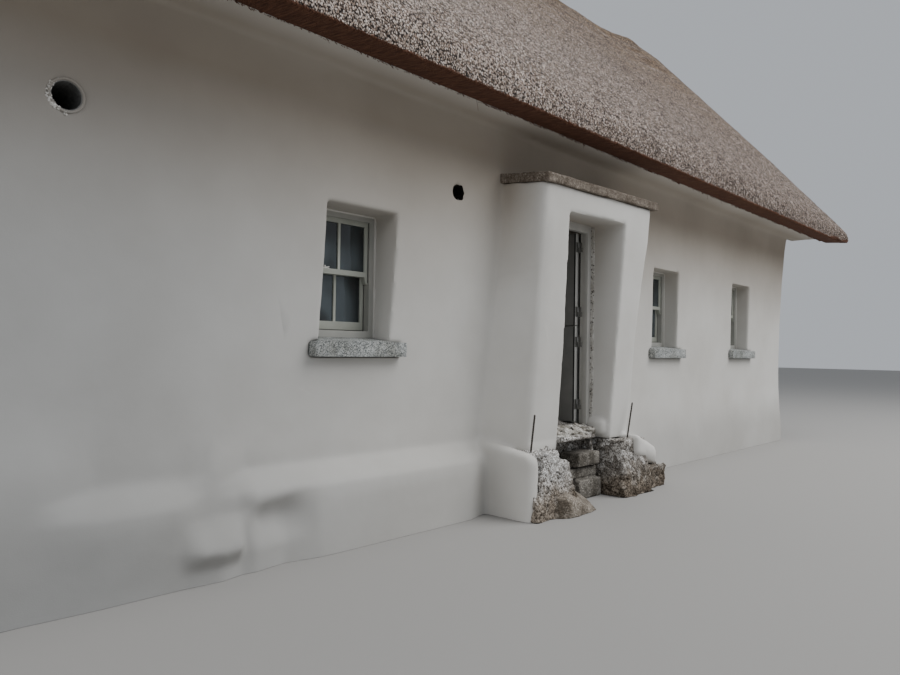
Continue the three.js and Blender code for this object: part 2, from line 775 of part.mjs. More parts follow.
// The passage through the porch flares a little towards the front and the top.
function porchPassage() {
  const geometry = new THREE.BoxGeometry(2, 2, 2);
  return toManifold(
    reshape(geometry, (x, y, z) => {
      const front = y < 0;
      const top = z > 0;
      const flare = front && top;
      const left = flare ? PORCH_OPENING_TOP.left : PASSAGE_LEFT;
      const right = flare ? PORCH_OPENING_TOP.right : PASSAGE_RIGHT;
      const height = front ? PORCH_OPENING_TOP.z : PASSAGE_HEAD_Z;
      return [
        x < 0 ? left : right,
        front ? PASSAGE_CUT.front : FRAME_FRONT_Y,
        top ? height : PASSAGE_CUT.low,
      ];
    }),
  ).add(
    block(
      [PASSAGE_LEFT, FRAME_FRONT_Y - 1, PASSAGE_CUT.low],
      [PASSAGE_RIGHT, PASSAGE_CUT.back, PASSAGE_HEAD_Z],
    ),
  );
}

const porch = porchBlock()
  .subtract(porchPassage())
  .subtract(frontWall.translate([0, -GAP, 0]))
  .subtract(block([-FAR.x, PORCH_SEAT_Y, 0], [FAR.x, 0, FAR.top]));
const headLeft = PORCH_OPENING_TOP.left;
const headRight = PORCH_OPENING_TOP.right;
const LINTEL_BEARING = { low: 2700, under: 30 };
const middle = block(
  [headLeft - GAP, -FAR.y, LINTEL_BEARING.low],
  [headRight + GAP, 0, FAR.top],
);
const lintelZone = block(
  [headLeft, -FAR.y, PORCH_OPENING_TOP.z - LINTEL_BEARING.under],
  [headRight, 0, FAR.top],
);
const lintel = mainBody(porch.intersect(lintelZone));
const leftZone = block([-FAR.x, -FAR.y, 0], [0, 0, FAR.top]);
const rightZone = block([0, -FAR.y, 0], [FAR.x, 0, FAR.top]);
const pierLeft = mainBody(porch.intersect(leftZone).subtract(middle));
const pierRight = mainBody(porch.intersect(rightZone).subtract(middle));
place(house, "porch_pier_left", pierLeft, limeRender);
place(house, "porch_pier_right", pierRight, limeRender);
place(house, "porch_head", lintel, limeRender);

// Broken stone: three crossing waves of about 150 to 200 mm.
const roughness = (x, y, z) =>
  Math.sin(x * 0.031 + z * 0.017) + Math.sin(y * 0.043 - x * 0.011) + Math.sin(z * 0.037 + y * 0.023);

function porchCap() {
  const geometry = new THREE.BoxGeometry(2, 2, 2, 10, 3, 1);
  const solid = toManifold(
    reshape(geometry, (u, v, w) => {
      const back = (v + 1) / 2;
      const x0 = mix(CAP_FRONT.left, CAP_BACK.left, back);
      const x1 = mix(CAP_FRONT.right, CAP_BACK.right, back);
      const x = mix(x0, x1, (u + 1) / 2);
      const wave = roughness(x, mix(CAP_FRONT.y, CAP_BACK.y, back), 0);
      const y = mix(CAP_FRONT.y + CAP_WAVE.front * wave, CAP_BACK.y, back);
      return [x, y, w > 0 ? capTopZ(x, y) + CAP_WAVE.top * wave : capUnderZ(x, y)];
    }),
  );
  return solid.subtract(frontWall.translate([0, -GAP, 0]));
}

place(house, "porch_cap", porchCap(), capStone);

// A reinforcing bar cast into the footing, standing out of it along a line between two points.
const BARS = {
  left: [[-985, -3345, PORCH_FOOT_Z], [-932, -3345, 900]],
  right: [[690, -3345, PORCH_FOOT_Z], [790, -3345, 932]],
};

function starterBar([from, to], radius) {
  const foot = new THREE.Vector3(...from);
  const tip = new THREE.Vector3(...to);
  const along = tip.clone().sub(foot).normalize();
  foot.addScaledVector(along, -BAR_EMBEDDED);
  const geometry = new THREE.CylinderGeometry(radius, radius, foot.distanceTo(tip), 8);
  geometry.applyQuaternion(
    new THREE.Quaternion().setFromUnitVectors(new THREE.Vector3(0, 1, 0), along),
  );
  const centre = foot.add(tip).multiplyScalar(0.5);
  geometry.translate(centre.x, centre.y, centre.z);
  return toManifold(geometry);
}

const FOOTING_SPREAD = { front: 90, sides: 40, power: 1.5 };
const FOOTING_ROUGHNESS = { depth: 7, pitch: 1.7 };
const FOOTING_CELLS = [4, 4, 5];

// Broken footing under the porch, of rubble and old concrete.
function roughBlock(low, high) {
  const geometry = new THREE.BoxGeometry(2, 2, 2, ...FOOTING_CELLS);
  const { depth, pitch } = FOOTING_ROUGHNESS;
  return toManifold(
    reshape(geometry, (u, v, w) => {
      const up = (w + 1) / 2;
      const spread = (1 - up) ** FOOTING_SPREAD.power;
      const x = mix(low[0], high[0], (u + 1) / 2) + u * FOOTING_SPREAD.sides * spread;
      const front = (1 - v) / 2;
      const y = mix(high[1], low[1], front) - front * FOOTING_SPREAD.front * spread;
      const z = mix(low[2], high[2], up);
      const wave = depth * roughness(x * pitch, y * pitch, z * pitch);
      return [
        x + (Math.abs(u) > 0.99 ? u * wave : 0),
        y + (v < -0.99 ? wave : 0),
        z + (w > 0.99 ? Math.min(wave, 0) : 0),
      ];
    }),
  );
}

const FOOTING_INSET = 64;
const FOOTING_FRONT_Y = -3400;
const FOOTING_LEFT_X = -1040;
const FOOTING_RIGHT_X = 980;
const MIDDLE_FRONT_Y = -3120;
const THRESHOLD_BED_Z = 560;
const FOOTING_BACK_Y = -WALL_HALF_DEPTH - FRONT_LEFT_PROFILE[0][1] - GAP;
const wallBehind = frontWall.translate([0, -GAP, 0]);
const footingTop = PORCH_FOOT_Z - GAP;
const footingLeft = roughBlock(
  [FOOTING_LEFT_X, FOOTING_FRONT_Y, 0],
  [PASSAGE_LEFT, PORCH_BACK_Y, footingTop],
)
  .subtract(wallBehind)
  .subtract(starterBar(BARS.left, BAR_RADIUS + GAP));
const footingRight = roughBlock(
  [PASSAGE_RIGHT, FOOTING_FRONT_Y, 0],
  [FOOTING_RIGHT_X, PORCH_BACK_Y, footingTop],
)
  .subtract(wallBehind)
  .subtract(starterBar(BARS.right, BAR_RADIUS + GAP));
const footingMiddle = block(
  [PASSAGE_LEFT + FOOTING_INSET, MIDDLE_FRONT_Y, 0],
  [PASSAGE_RIGHT - FOOTING_INSET, FOOTING_BACK_Y, THRESHOLD_BED_Z - GAP],
);
place(house, "porch_footing_left", mainBody(footingLeft), rubble);
place(house, "porch_footing_right", mainBody(footingRight), rubble);
place(house, "porch_footing_middle", footingMiddle, rubble);

const THRESHOLD_FRONT_Y = -3340;
const THRESHOLD_WEAR = { backY: -3080, depth: 12, roughness: 9, pitch: 2 };

function threshold() {
  const geometry = new THREE.BoxGeometry(2, 2, 2, 6, 5, 1);
  const slab = toManifold(
    reshape(geometry, (u, v, w) => {
      const x = mix(PASSAGE_LEFT + GAP, PASSAGE_RIGHT - GAP, (u + 1) / 2);
      const y = mix(THRESHOLD_FRONT_Y, PORCH_BACK_Y, (v + 1) / 2);
      const { backY, depth, pitch } = THRESHOLD_WEAR;
      const worn = depth + THRESHOLD_WEAR.roughness * roughness(x * pitch, y * pitch, 0);
      const drop = y < backY ? Math.max(worn, 0) : 0;
      return [x, y, w > 0 ? THRESHOLD_Z - drop : THRESHOLD_BED_Z];
    }),
  );
  return slab.subtract(wallBehind);
}

place(house, "threshold", threshold(), rubble);
place(house, "starter_bar_left", starterBar(BARS.left, BAR_RADIUS), rustySteel);
place(house, "starter_bar_right", starterBar(BARS.right, BAR_RADIUS), rustySteel);

// Half-door

function doorFrame() {
  const left = PASSAGE_LEFT + GAP;
  const right = PASSAGE_RIGHT - GAP;
  const low = THRESHOLD_Z + GAP;
  const high = PASSAGE_HEAD_Z - GAP;
  const clearLeft = PASSAGE_LEFT + JAMB_LEFT;
  const clearRight = PASSAGE_RIGHT - JAMB_RIGHT;
  const clearTop = PASSAGE_HEAD_Z - FRAME_HEAD;
  return block([left, FRAME_FRONT_Y, low], [right, FRAME_BACK_Y, high])
    .subtract(
      block(
        [clearLeft, FRAME_FRONT_Y + STOP_DEPTH, low - CUT_LAP],
        [clearRight, FRAME_BACK_Y + CUT_LAP, clearTop],
      ),
    )
    .subtract(
      block(
        [clearLeft + STOP_WIDTH, FRAME_FRONT_Y - CUT_LAP, low - CUT_LAP],
        [clearRight - STOP_WIDTH, FRAME_BACK_Y, clearTop - STOP_WIDTH],
      ),
    );
}

place(house, "door_frame", doorFrame(), framePaint);

function knuckle(z0, z1) {
  const geometry = new THREE.CylinderGeometry(HINGE_RADIUS, HINGE_RADIUS, z1 - z0, 12);
  geometry.rotateX(Math.PI / 2);
  geometry.translate(0, 0, (z0 + z1) / 2);
  return toManifold(geometry);
}

const doorway = new THREE.Group();
doorway.position.set(HINGE_PIN.x, HINGE_PIN.y, 0);
house.add(doorway);

// Measured from the hinge pin: the flap on the jamb, and the web that holds the leaf's knuckle.
const HINGE_FLAP = { face: -1.9, reach: -46, root: -3, topDrop: 54 };
const HINGE_WEB = { face: -12, root: -3, near: 1.5, far: 12 };

// The half of each hinge on the frame: a flap on the jamb and the lower knuckle.
function frameHinge(z) {
  const z0 = z - HINGE_HEIGHT / 2;
  const z1 = z + HINGE_HEIGHT / 2 - HINGE_FLAP.topDrop;
  const flap = block([HINGE_FLAP.face, HINGE_FLAP.reach, z0], [-GAP, HINGE_FLAP.root, z1]);
  return knuckle(z0, z - GAP).add(flap);
}

// A leaf stands open, square to the wall, and carries the upper knuckle of its hinges.
function leaf([z0, z1], hinges) {
  const slab = block(
    [-LEAF_CLEARANCE - LEAF_THICKNESS, LEAF_CLEARANCE, z0],
    [-LEAF_CLEARANCE, LEAF_CLEARANCE + LEAF_WIDTH, z1],
  );
  return hinges.reduce((solid, z) => {
    const top = z + HINGE_HEIGHT / 2;
    const web = block(
      [HINGE_WEB.face, HINGE_WEB.near, z + GAP],
      [HINGE_WEB.root, HINGE_WEB.far, top],
    );
    return solid.add(knuckle(z, top)).add(web);
  }, slab);
}

HINGE_ZS.lower.forEach((z, i) => place(doorway, "lower_hinge_" + (i + 1), frameHinge(z), steel));
HINGE_ZS.upper.forEach((z, i) => place(doorway, "upper_hinge_" + (i + 1), frameHinge(z), steel));
place(doorway, "door_leaf_lower", leaf(LOWER_LEAF_Z, HINGE_ZS.lower), doorPaint);
place(doorway, "door_leaf_upper", leaf(UPPER_LEAF_Z, HINGE_ZS.upper), doorPaint);

// Vent pipe through the wall

function ventPipe() {
  const faceY = frontFaceY(VENT.x, VENT.z);
  const length = -INNER_Y - faceY - 4;
  const profile = [
    [VENT.bore, -length / 2],
    [VENT.radius, -length / 2],
    [VENT.radius, length / 2],
    [VENT.bore, length / 2],
    [VENT.bore, -length / 2],
  ].map(([r, y]) => new THREE.Vector2(r, y));
  const geometry = new THREE.LatheGeometry(profile, 24);
  geometry.translate(VENT.x, faceY + 4 + length / 2, VENT.z);
  return toManifold(geometry);
}

place(house, "vent_pipe", ventPipe(), ventPlastic);

export default house;
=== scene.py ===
import math
import random
from functools import partial

import bpy
import numpy as np
from mathutils import Euler, Matrix, Vector
from mathutils.kdtree import KDTree


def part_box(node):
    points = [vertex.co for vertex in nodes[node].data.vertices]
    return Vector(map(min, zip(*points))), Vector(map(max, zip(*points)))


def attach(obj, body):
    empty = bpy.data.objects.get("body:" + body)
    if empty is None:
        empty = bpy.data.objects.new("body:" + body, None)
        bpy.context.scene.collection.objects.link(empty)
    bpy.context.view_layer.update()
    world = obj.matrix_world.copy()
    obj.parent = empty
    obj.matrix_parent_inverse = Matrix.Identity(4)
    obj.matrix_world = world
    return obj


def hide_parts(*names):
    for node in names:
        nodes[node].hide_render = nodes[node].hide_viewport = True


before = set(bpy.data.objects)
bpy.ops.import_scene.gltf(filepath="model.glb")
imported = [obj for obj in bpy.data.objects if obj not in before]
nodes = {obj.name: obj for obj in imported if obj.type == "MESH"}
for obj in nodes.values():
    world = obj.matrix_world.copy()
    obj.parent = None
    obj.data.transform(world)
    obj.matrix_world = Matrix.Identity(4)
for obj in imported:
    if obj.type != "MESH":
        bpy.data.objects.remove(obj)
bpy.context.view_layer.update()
random.seed(7)
print("frame loaded,", len(nodes), "nodes")


# camera, light and floor

camera = {
    "place": (-5.97, -7.02, 1.456),
    "yaw": 43.023,  # degrees from +X
    "pitch": 0.994,
    "roll": 0.877,
    "lens": 28.32,
}


def makeCamera(values):
    yaw, pitch, roll = (math.radians(values[key]) for key in ("yaw", "pitch", "roll"))
    ahead = Vector((math.cos(pitch) * math.cos(yaw), math.cos(pitch) * math.sin(yaw), math.sin(pitch)))
    level = Vector((math.sin(yaw), -math.cos(yaw), 0))
    upright = level.cross(ahead)
    right = level * math.cos(roll) + upright * math.sin(roll)
    up = upright * math.cos(roll) - level * math.sin(roll)
    turn = Matrix((right, up, -ahead)).transposed().to_4x4()
    bpy.ops.object.camera_add()
    made = bpy.context.active_object
    made.matrix_world = Matrix.Translation(values["place"]) @ turn
    made.data.lens = values["lens"]
    made.data.sensor_width = 36
    bpy.context.scene.camera = made


def linear(text):
    parts = [int(text[i : i + 2], 16) / 255 for i in (1, 3, 5)]
    return [c / 12.92 if c <= 0.04045 else ((c + 0.055) / 1.055) ** 2.4 for c in parts] + [1]


def link(node, links):
    # a node given as a source gives its first output, and a colour mix its third
    for key, source in links.items():
        if hasattr(source, "outputs"):
            source = source.outputs[2 if source.bl_idname == "ShaderNodeMix" else 0]
        node.id_data.links.new(source, node.inputs[key])


def addNode(tree, kind, inputs=None, links=None, stops=None, **settings):
    node = tree.nodes.new("ShaderNode" + kind)
    for key, value in settings.items():
        setattr(node, key, value)
    for key, value in (inputs or {}).items():
        node.inputs[key].default_value = value
    link(node, links or {})
    for i, (place, color) in enumerate(stops or []):
        elements = node.color_ramp.elements
        element = elements[i] if i < len(elements) else elements.new(place)
        element.position = place
        element.color = linear(color)
    return node


def deselect():
    if bpy.context.mode != "OBJECT":
        bpy.ops.object.mode_set(mode="OBJECT")
    bpy.ops.object.select_all(action="DESELECT")


def takeUp(*pieces):
    deselect()
    for piece in pieces:
        piece.select_set(True)
    bpy.context.view_layer.objects.active = pieces[0]


makeCamera(camera)

stage = {
    "floor": "#9c9a97",
    "sky": "#e0e5ec",
    "skyStrength": 0.62,
    # place, aim, diameter, watts: a high soft key, and a weaker one from the left
    "lights": [((7.5, -12.0, 16.0), (2, -2, 0), 18.0, 3850), ((-24.0, -6.0, 8.0), (0, -3, 1.5), 10.0, 950)],
}

world = bpy.data.worlds.new("studioSky")
world.use_nodes = True
bpy.context.scene.world = world
sky = world.node_tree.nodes["Background"]
sky.inputs["Color"].default_value = linear(stage["sky"])
sky.inputs["Strength"].default_value = stage["skyStrength"]

for place, aim, size, watts in stage["lights"]:
    deselect()
    bpy.ops.object.light_add(type="AREA", location=place)
    softLight = bpy.context.active_object
    softLight.data.shape = "DISK"
    softLight.data.size = size
    softLight.data.energy = watts
    softLight.rotation_euler = (Vector(aim) - Vector(place)).to_track_quat("-Z", "Y").to_euler()

deselect()
bpy.ops.mesh.primitive_plane_add(size=160, location=(0, 0, -0.002))
floor = bpy.context.active_object
floor.name = "studioFloor"


# materials

multiplied = {"data_type": "RGBA", "blend_type": "MULTIPLY"}  # a colour mix that only darkens
eased = {"interpolation_type": "SMOOTHSTEP"}
times = {"operation": "MULTIPLY"}
timesPlus = {"operation": "MULTIPLY_ADD"}


def newMaterial(name, roughness, **sockets):
    # also gives a link to the coordinates of the piece itself, and addNode for its tree
    material = bpy.data.materials.new(name)
    material.use_nodes = True
    tree = material.node_tree
    shader = tree.nodes["Principled BSDF"]
    shader.inputs["Roughness"].default_value = roughness
    for key, value in sockets.items():
        shader.inputs[key.replace("_", " ")].default_value = value
    add = partial(addNode, tree)
    return material, shader, {"Vector": add("TexCoord").outputs["Object"]}, add


floorMaterial, shader, own, add = newMaterial("paleStudioFloor", 0.9)
shader.inputs["Base Color"].default_value = linear(stage["floor"])
floor.data.materials.append(floorMaterial)


def limeRender():
    # lime render, sponge floated by hand: matte, off-white, with soft patches and slow waves
    material, shader, own, add = newMaterial("limeRender", 0.92, Specular_IOR_Level=0.2)
    x, y, z = add("SeparateXYZ", links=own).outputs
    patches = add("TexNoise", {"Scale": 0.9, "Detail": 4, "Roughness": 0.55}, own)
    tone = add("ValToRGB", links={0: patches}, stops=[(0.3, "#c9c6c0"), (0.7, "#d8d6d1")])
    # painted shade of the eaves: the render is darkened and browned high up on the wall, and less so on the
    # soffit
    height = add("MapRange", {"From Min": 1.7, "From Max": 3.5}, {0: z}, **eased)
    depth = add("Math", links={0: y}, operation="ABSOLUTE")
    sheltered = add("MapRange", {"From Min": 3.36, "From Max": 3.04}, {0: depth})
    eavesShadeOnWall = add("Math", links={0: height, 1: sheltered}, **times)
    lessShadeOnSoffit = {"From Min": 3.2, "From Max": 3.48, "To Min": 1, "To Max": 0.72}
    soffit = add("MapRange", lessShadeOnSoffit, {0: z})
    eavesShadeShare = add("Math", links={0: eavesShadeOnWall, 1: soffit}, **times)
    eavesShaded = add("Mix", {7: linear("#c4b8aa")}, {0: eavesShadeShare, 6: tone}, **multiplied)
    # painted shade: the render is darker and greyer towards the left end, below the head
    leftEnd = add("MapRange", {"From Min": -1.6, "From Max": -5.0}, {0: x}, **eased)
    belowHead = add("MapRange", {"From Min": 3.25, "From Max": 2.8}, {0: z}, **eased)
    leftShadeShare = add("Math", links={0: leftEnd, 1: belowHead}, **times)
    leftShaded = add("Mix", {7: linear("#d5d7da")}, {0: leftShadeShare, 6: eavesShaded}, **multiplied)
    # the wall face turns a little greyer towards the foot
    lowDown = add("MapRange", {"From Min": 0.9, "From Max": 0.3}, {0: z}, **eased)
    footGreyShare = add("Math", links={0: lowDown, 1: sheltered}, **times)
    footGreyed = add("Mix", {7: linear("#e3e3e3")}, {0: footGreyShare, 6: leftShaded}, **multiplied)
    # sand grains, drawn 6 mm wide where the real ones are 2 mm, and the sweep of the float
    grit = add("TexNoise", {"Scale": 160, "Detail": 2}, own)
    trowel = add("TexNoise", {"Scale": 5, "Detail": 3, "Roughness": 0.5}, own)
    fine = add("Bump", {"Strength": 0.25, "Distance": 0.002}, {"Height": grit})
    waves = add("Bump", {"Strength": 0.3, "Distance": 0.01}, {"Height": trowel, "Normal": fine})
    link(shader, {"Base Color": footGreyed, "Normal": waves})
    return material


def reedThatch():
    # packed water reed, dressed so that only the cut butts show: pale ends, with painted shade in the gaps
    # between them
    material, shader, own, add = newMaterial("waterReed", 0.85, Specular_IOR_Level=0.25)
    x, y, z = add("SeparateXYZ", links=own).outputs
    side = add("Math", links={0: y}, operation="ABSOLUTE")
    # coordinates that lie in the slope of 48 degrees: along it, and out of it
    runY = add("Math", {1: -0.6667}, {0: side}, **times)
    along = add("Math", {1: 0.7454}, {0: z, 2: runY}, **timesPlus)
    outY = add("Math", {1: 0.7454}, {0: side}, **times)
    out = add("Math", {1: 0.6667}, {0: z, 2: outY}, **timesPlus)
    shorter = add("Math", {1: 0.6}, {0: along}, **times)
    slope = add("CombineXYZ", links={0: x, 1: shorter, 2: out})
    # butts are drawn 12 mm wide and 20 mm long, coarser than the real 7 mm ones, so that they show
    butts = add("TexVoronoi", {"Scale": 84, "Randomness": 1}, {"Vector": slope}, feature="F1")
    shade = add("SeparateColor", links={0: butts.outputs["Color"]})
    pale = [(0.0, "#5a4b41"), (0.2, "#a89383"), (0.52, "#d7c6b8"), (1.0, "#f8ede5")]
    ends = add("ValToRGB", links={0: shade}, stops=pale)
    # painted shade: the gaps between the butts are darkened
    gaps = add("ValToRGB", links={0: butts}, stops=[(0.42, "#ffffff"), (0.70, "#342b26")])
    body = add("Mix", {0: 1.0}, {6: ends, 7: gaps}, **multiplied)
    # tufts of about 26 mm, lighter and darker, that still show from far off, stronger to the right
    tufts = add("TexVoronoi", {"Scale": 38}, {"Vector": slope})
    tuftShade = add("SeparateColor", links={0: tufts.outputs["Color"]})
    rightward = {"From Min": -3.0, "From Max": 3.0, "To Min": 0.4, "To Max": 1}
    tuftShare = add("MapRange", rightward, {0: x})
    mottled = [(0.0, "#77706a"), (0.35, "#c4beb9"), (0.8, "#ffffff")]
    tuftTone = add("ValToRGB", links={0: tuftShade}, stops=mottled)
    tufted = add("Mix", links={0: tuftShare, 6: body, 7: tuftTone}, **multiplied)
    # faint courses along the slope, and golden newer reed towards the ridge
    lengthways = add("Math", {1: 0.12}, {0: x}, **times)
    course = add("CombineXYZ", links={0: lengthways, 1: along})
    bands = add("TexNoise", {"Scale": 6, "Detail": 3}, {"Vector": course})
    high = add("MapRange", {"From Min": 4.6, "From Max": 7.2}, {0: z})
    bandShare = add("MapRange", {"From Min": 0.36, "From Max": 0.62}, {0: bands})
    golden = add("Math", links={0: high, 1: bandShare}, **times)
    warm = add("Mix", {7: linear("#d8c7a8")}, {0: golden, 6: tufted}, **multiplied)
    # the right half has weathered greyer
    agedRight = {"From Min": -2.0, "From Max": 3.0, "To Min": 0.5, "To Max": 1}
    weathered = add("MapRange", agedRight, {0: x})
    greyer = add("Mix", {7: linear("#d5d2d1")}, {0: weathered, 6: warm}, **multiplied)
    # undersides and cut edges show the brown sides of the reeds, and painted shade darkens the faces that
    # point down
    facing = add("SeparateXYZ", links={0: add("NewGeometry").outputs["Normal"]})
    ragged = add("TexNoise", {"Scale": 70, "Detail": 2}, own)
    bent = add("Math", {1: 0.5}, {0: ragged, 2: facing.outputs["Z"]}, **timesPlus)
    downward = {"From Min": -0.05, "From Max": 0.1, "To Min": 1, "To Max": 0}
    downFacingShade = add("MapRange", downward, {0: bent})
    straws = add("Mapping", {"Scale": (90, 9, 9)}, own)
    strawLines = add("TexNoise", {"Scale": 1, "Detail": 3}, {"Vector": straws})
    brown = [(0.3, "#4d3227"), (0.55, "#6c4938"), (0.8, "#8a624d")]
    shadedReedSides = add("ValToRGB", links={0: strawLines}, stops=brown)
    whole = add("Mix", links={0: downFacingShade, 6: greyer, 7: shadedReedSides}, data_type="RGBA")
    relief = add("Bump", {"Strength": 0.9, "Distance": 0.01}, {"Height": gaps})
    link(shader, {"Base Color": whole, "Normal": relief})
    return material


def speckledStone(name, roughness, grain, stops, weather, depth):
    # stone with mineral grains, drawn somewhat larger than real ones, and weathered patches
    material, shader, own, add = newMaterial(name, roughness, Specular_IOR_Level=0.3)
    grains = add("TexVoronoi", {"Scale": 1 / grain}, own)
    mineral = add("SeparateColor", links={0: grains.outputs["Color"]})
    speckle = add("ValToRGB", links={0: mineral}, stops=stops)
    patches = add("TexNoise", {"Scale": 7, "Detail": 5, "Roughness": 0.6}, own)
    spread = add("MapRange", {"From Min": 0.42, "From Max": 0.62, "To Max": 0.75}, {0: patches})
    mixed = add("Mix", {7: linear(weather)}, {0: spread, 6: speckle}, **multiplied)
    rough = add("TexNoise", {"Scale": 0.35 / grain, "Detail": 5}, own)
    relief = add("Bump", {"Strength": 0.6, "Distance": depth}, {"Height": rough})
    link(shader, {"Base Color": mixed, "Normal": relief})
    return material


def rubbleMasonry():
    # broken rubble and old mortar: lumps of about 70 mm, each with its own tone, with dark joints,
    # lime splashes on the left and soil below
    material, shader, own, add = newMaterial("rubbleMasonry", 0.95, Specular_IOR_Level=0.15)
    x, y, z = add("SeparateXYZ", links=own).outputs
    twist = add("TexNoise", {"Scale": 14, "Detail": 3}, own)
    bend = {0: twist.outputs["Color"], 2: own["Vector"]}
    bent = add("VectorMath", {1: (0.06, 0.06, 0.06)}, bend, **timesPlus)
    lumps = add("TexVoronoi", {"Scale": 14}, {"Vector": bent})
    joints = add("TexVoronoi", {"Scale": 14}, {"Vector": bent}, feature="DISTANCE_TO_EDGE")
    tone = add("SeparateColor", links={0: lumps.outputs["Color"]})
    greys = [(0.0, "#8f8a83"), (0.3, "#b3aea8"), (0.65, "#d0cdc8"), (1.0, "#e6e4e1")]
    body = add("ValToRGB", links={0: tone}, stops=greys)
    grains = add("TexNoise", {"Scale": 60, "Detail": 5, "Roughness": 0.75}, own)
    pitted = [(0.38, "#4a4541"), (0.48, "#bcb8b3"), (0.56, "#ffffff")]
    grainTone = add("ValToRGB", links={0: grains}, stops=pitted)
    patches = add("TexNoise", {"Scale": 7, "Detail": 5, "Roughness": 0.6}, own)
    level = add("Math", {1: 0.55}, {0: patches, 2: z}, **timesPlus)
    leftward = add("Math", {1: -1.1}, {0: x, 2: level}, **timesPlus)
    splash = add("MapRange", {"From Min": 1.0, "From Max": 1.5, "To Max": 0.95}, {0: leftward})
    limed = add("Mix", {7: linear("#f1f0ee")}, {0: splash, 6: body}, data_type="RGBA")
    grained = add("Mix", {0: 1.0}, {6: limed, 7: grainTone}, **multiplied)
    dark = add("ValToRGB", links={0: joints}, stops=[(0.0, "#5b544c"), (0.12, "#ffffff")])
    jointed = add("Mix", {0: 0.5}, {6: grained, 7: dark}, **multiplied)
    low = add("MapRange", {"From Min": 0.66, "From Max": 0.40}, {0: level})
    soil = add("Mix", {7: linear("#bcb1a4")}, {0: low, 6: jointed}, **multiplied)
    relief = add("Bump", {"Strength": 0.8, "Distance": 0.008}, {"Height": grains})
    deep = add("Bump", {"Strength": 0.8, "Distance": 0.02}, {"Height": joints, "Normal": relief})
    link(shader, {"Base Color": soil, "Normal": deep})
    return material


def paintedWood(name, base, worn, roughness):
    # brushed satin paint on planed timber: faint strokes along the grain
    material, shader, own, add = newMaterial(name, roughness)
    stretched = add("Mapping", {"Scale": (1, 1, 0.08)}, own)
    strokes = add("TexNoise", {"Scale": 220, "Detail": 3}, {"Vector": stretched})
    dirt = add("TexNoise", {"Scale": 6, "Detail": 4}, own)
    color = add("ValToRGB", links={0: dirt}, stops=[(0.35, base), (0.7, worn)])
    relief = add("Bump", {"Strength": 0.15, "Distance": 0.0006}, {"Height": strokes})
    link(shader, {"Base Color": color, "Normal": relief})
    return material


def filmed(name, roughness, scale, detail, stops, relief=None, **sockets):
    # an uneven film of two or three tones, with relief where it gets a strength and a depth
    material, shader, own, add = newMaterial(name, roughness, **sockets)
    film = add("TexNoise", {"Scale": scale, "Detail": detail}, own)
    link(shader, {"Base Color": add("ValToRGB", links={0: film}, stops=stops)})
    if relief:
        strength, depth = relief
        link(shader, {"Normal": add("Bump", {"Strength": strength, "Distance": depth}, {"Height": film})})
    return material


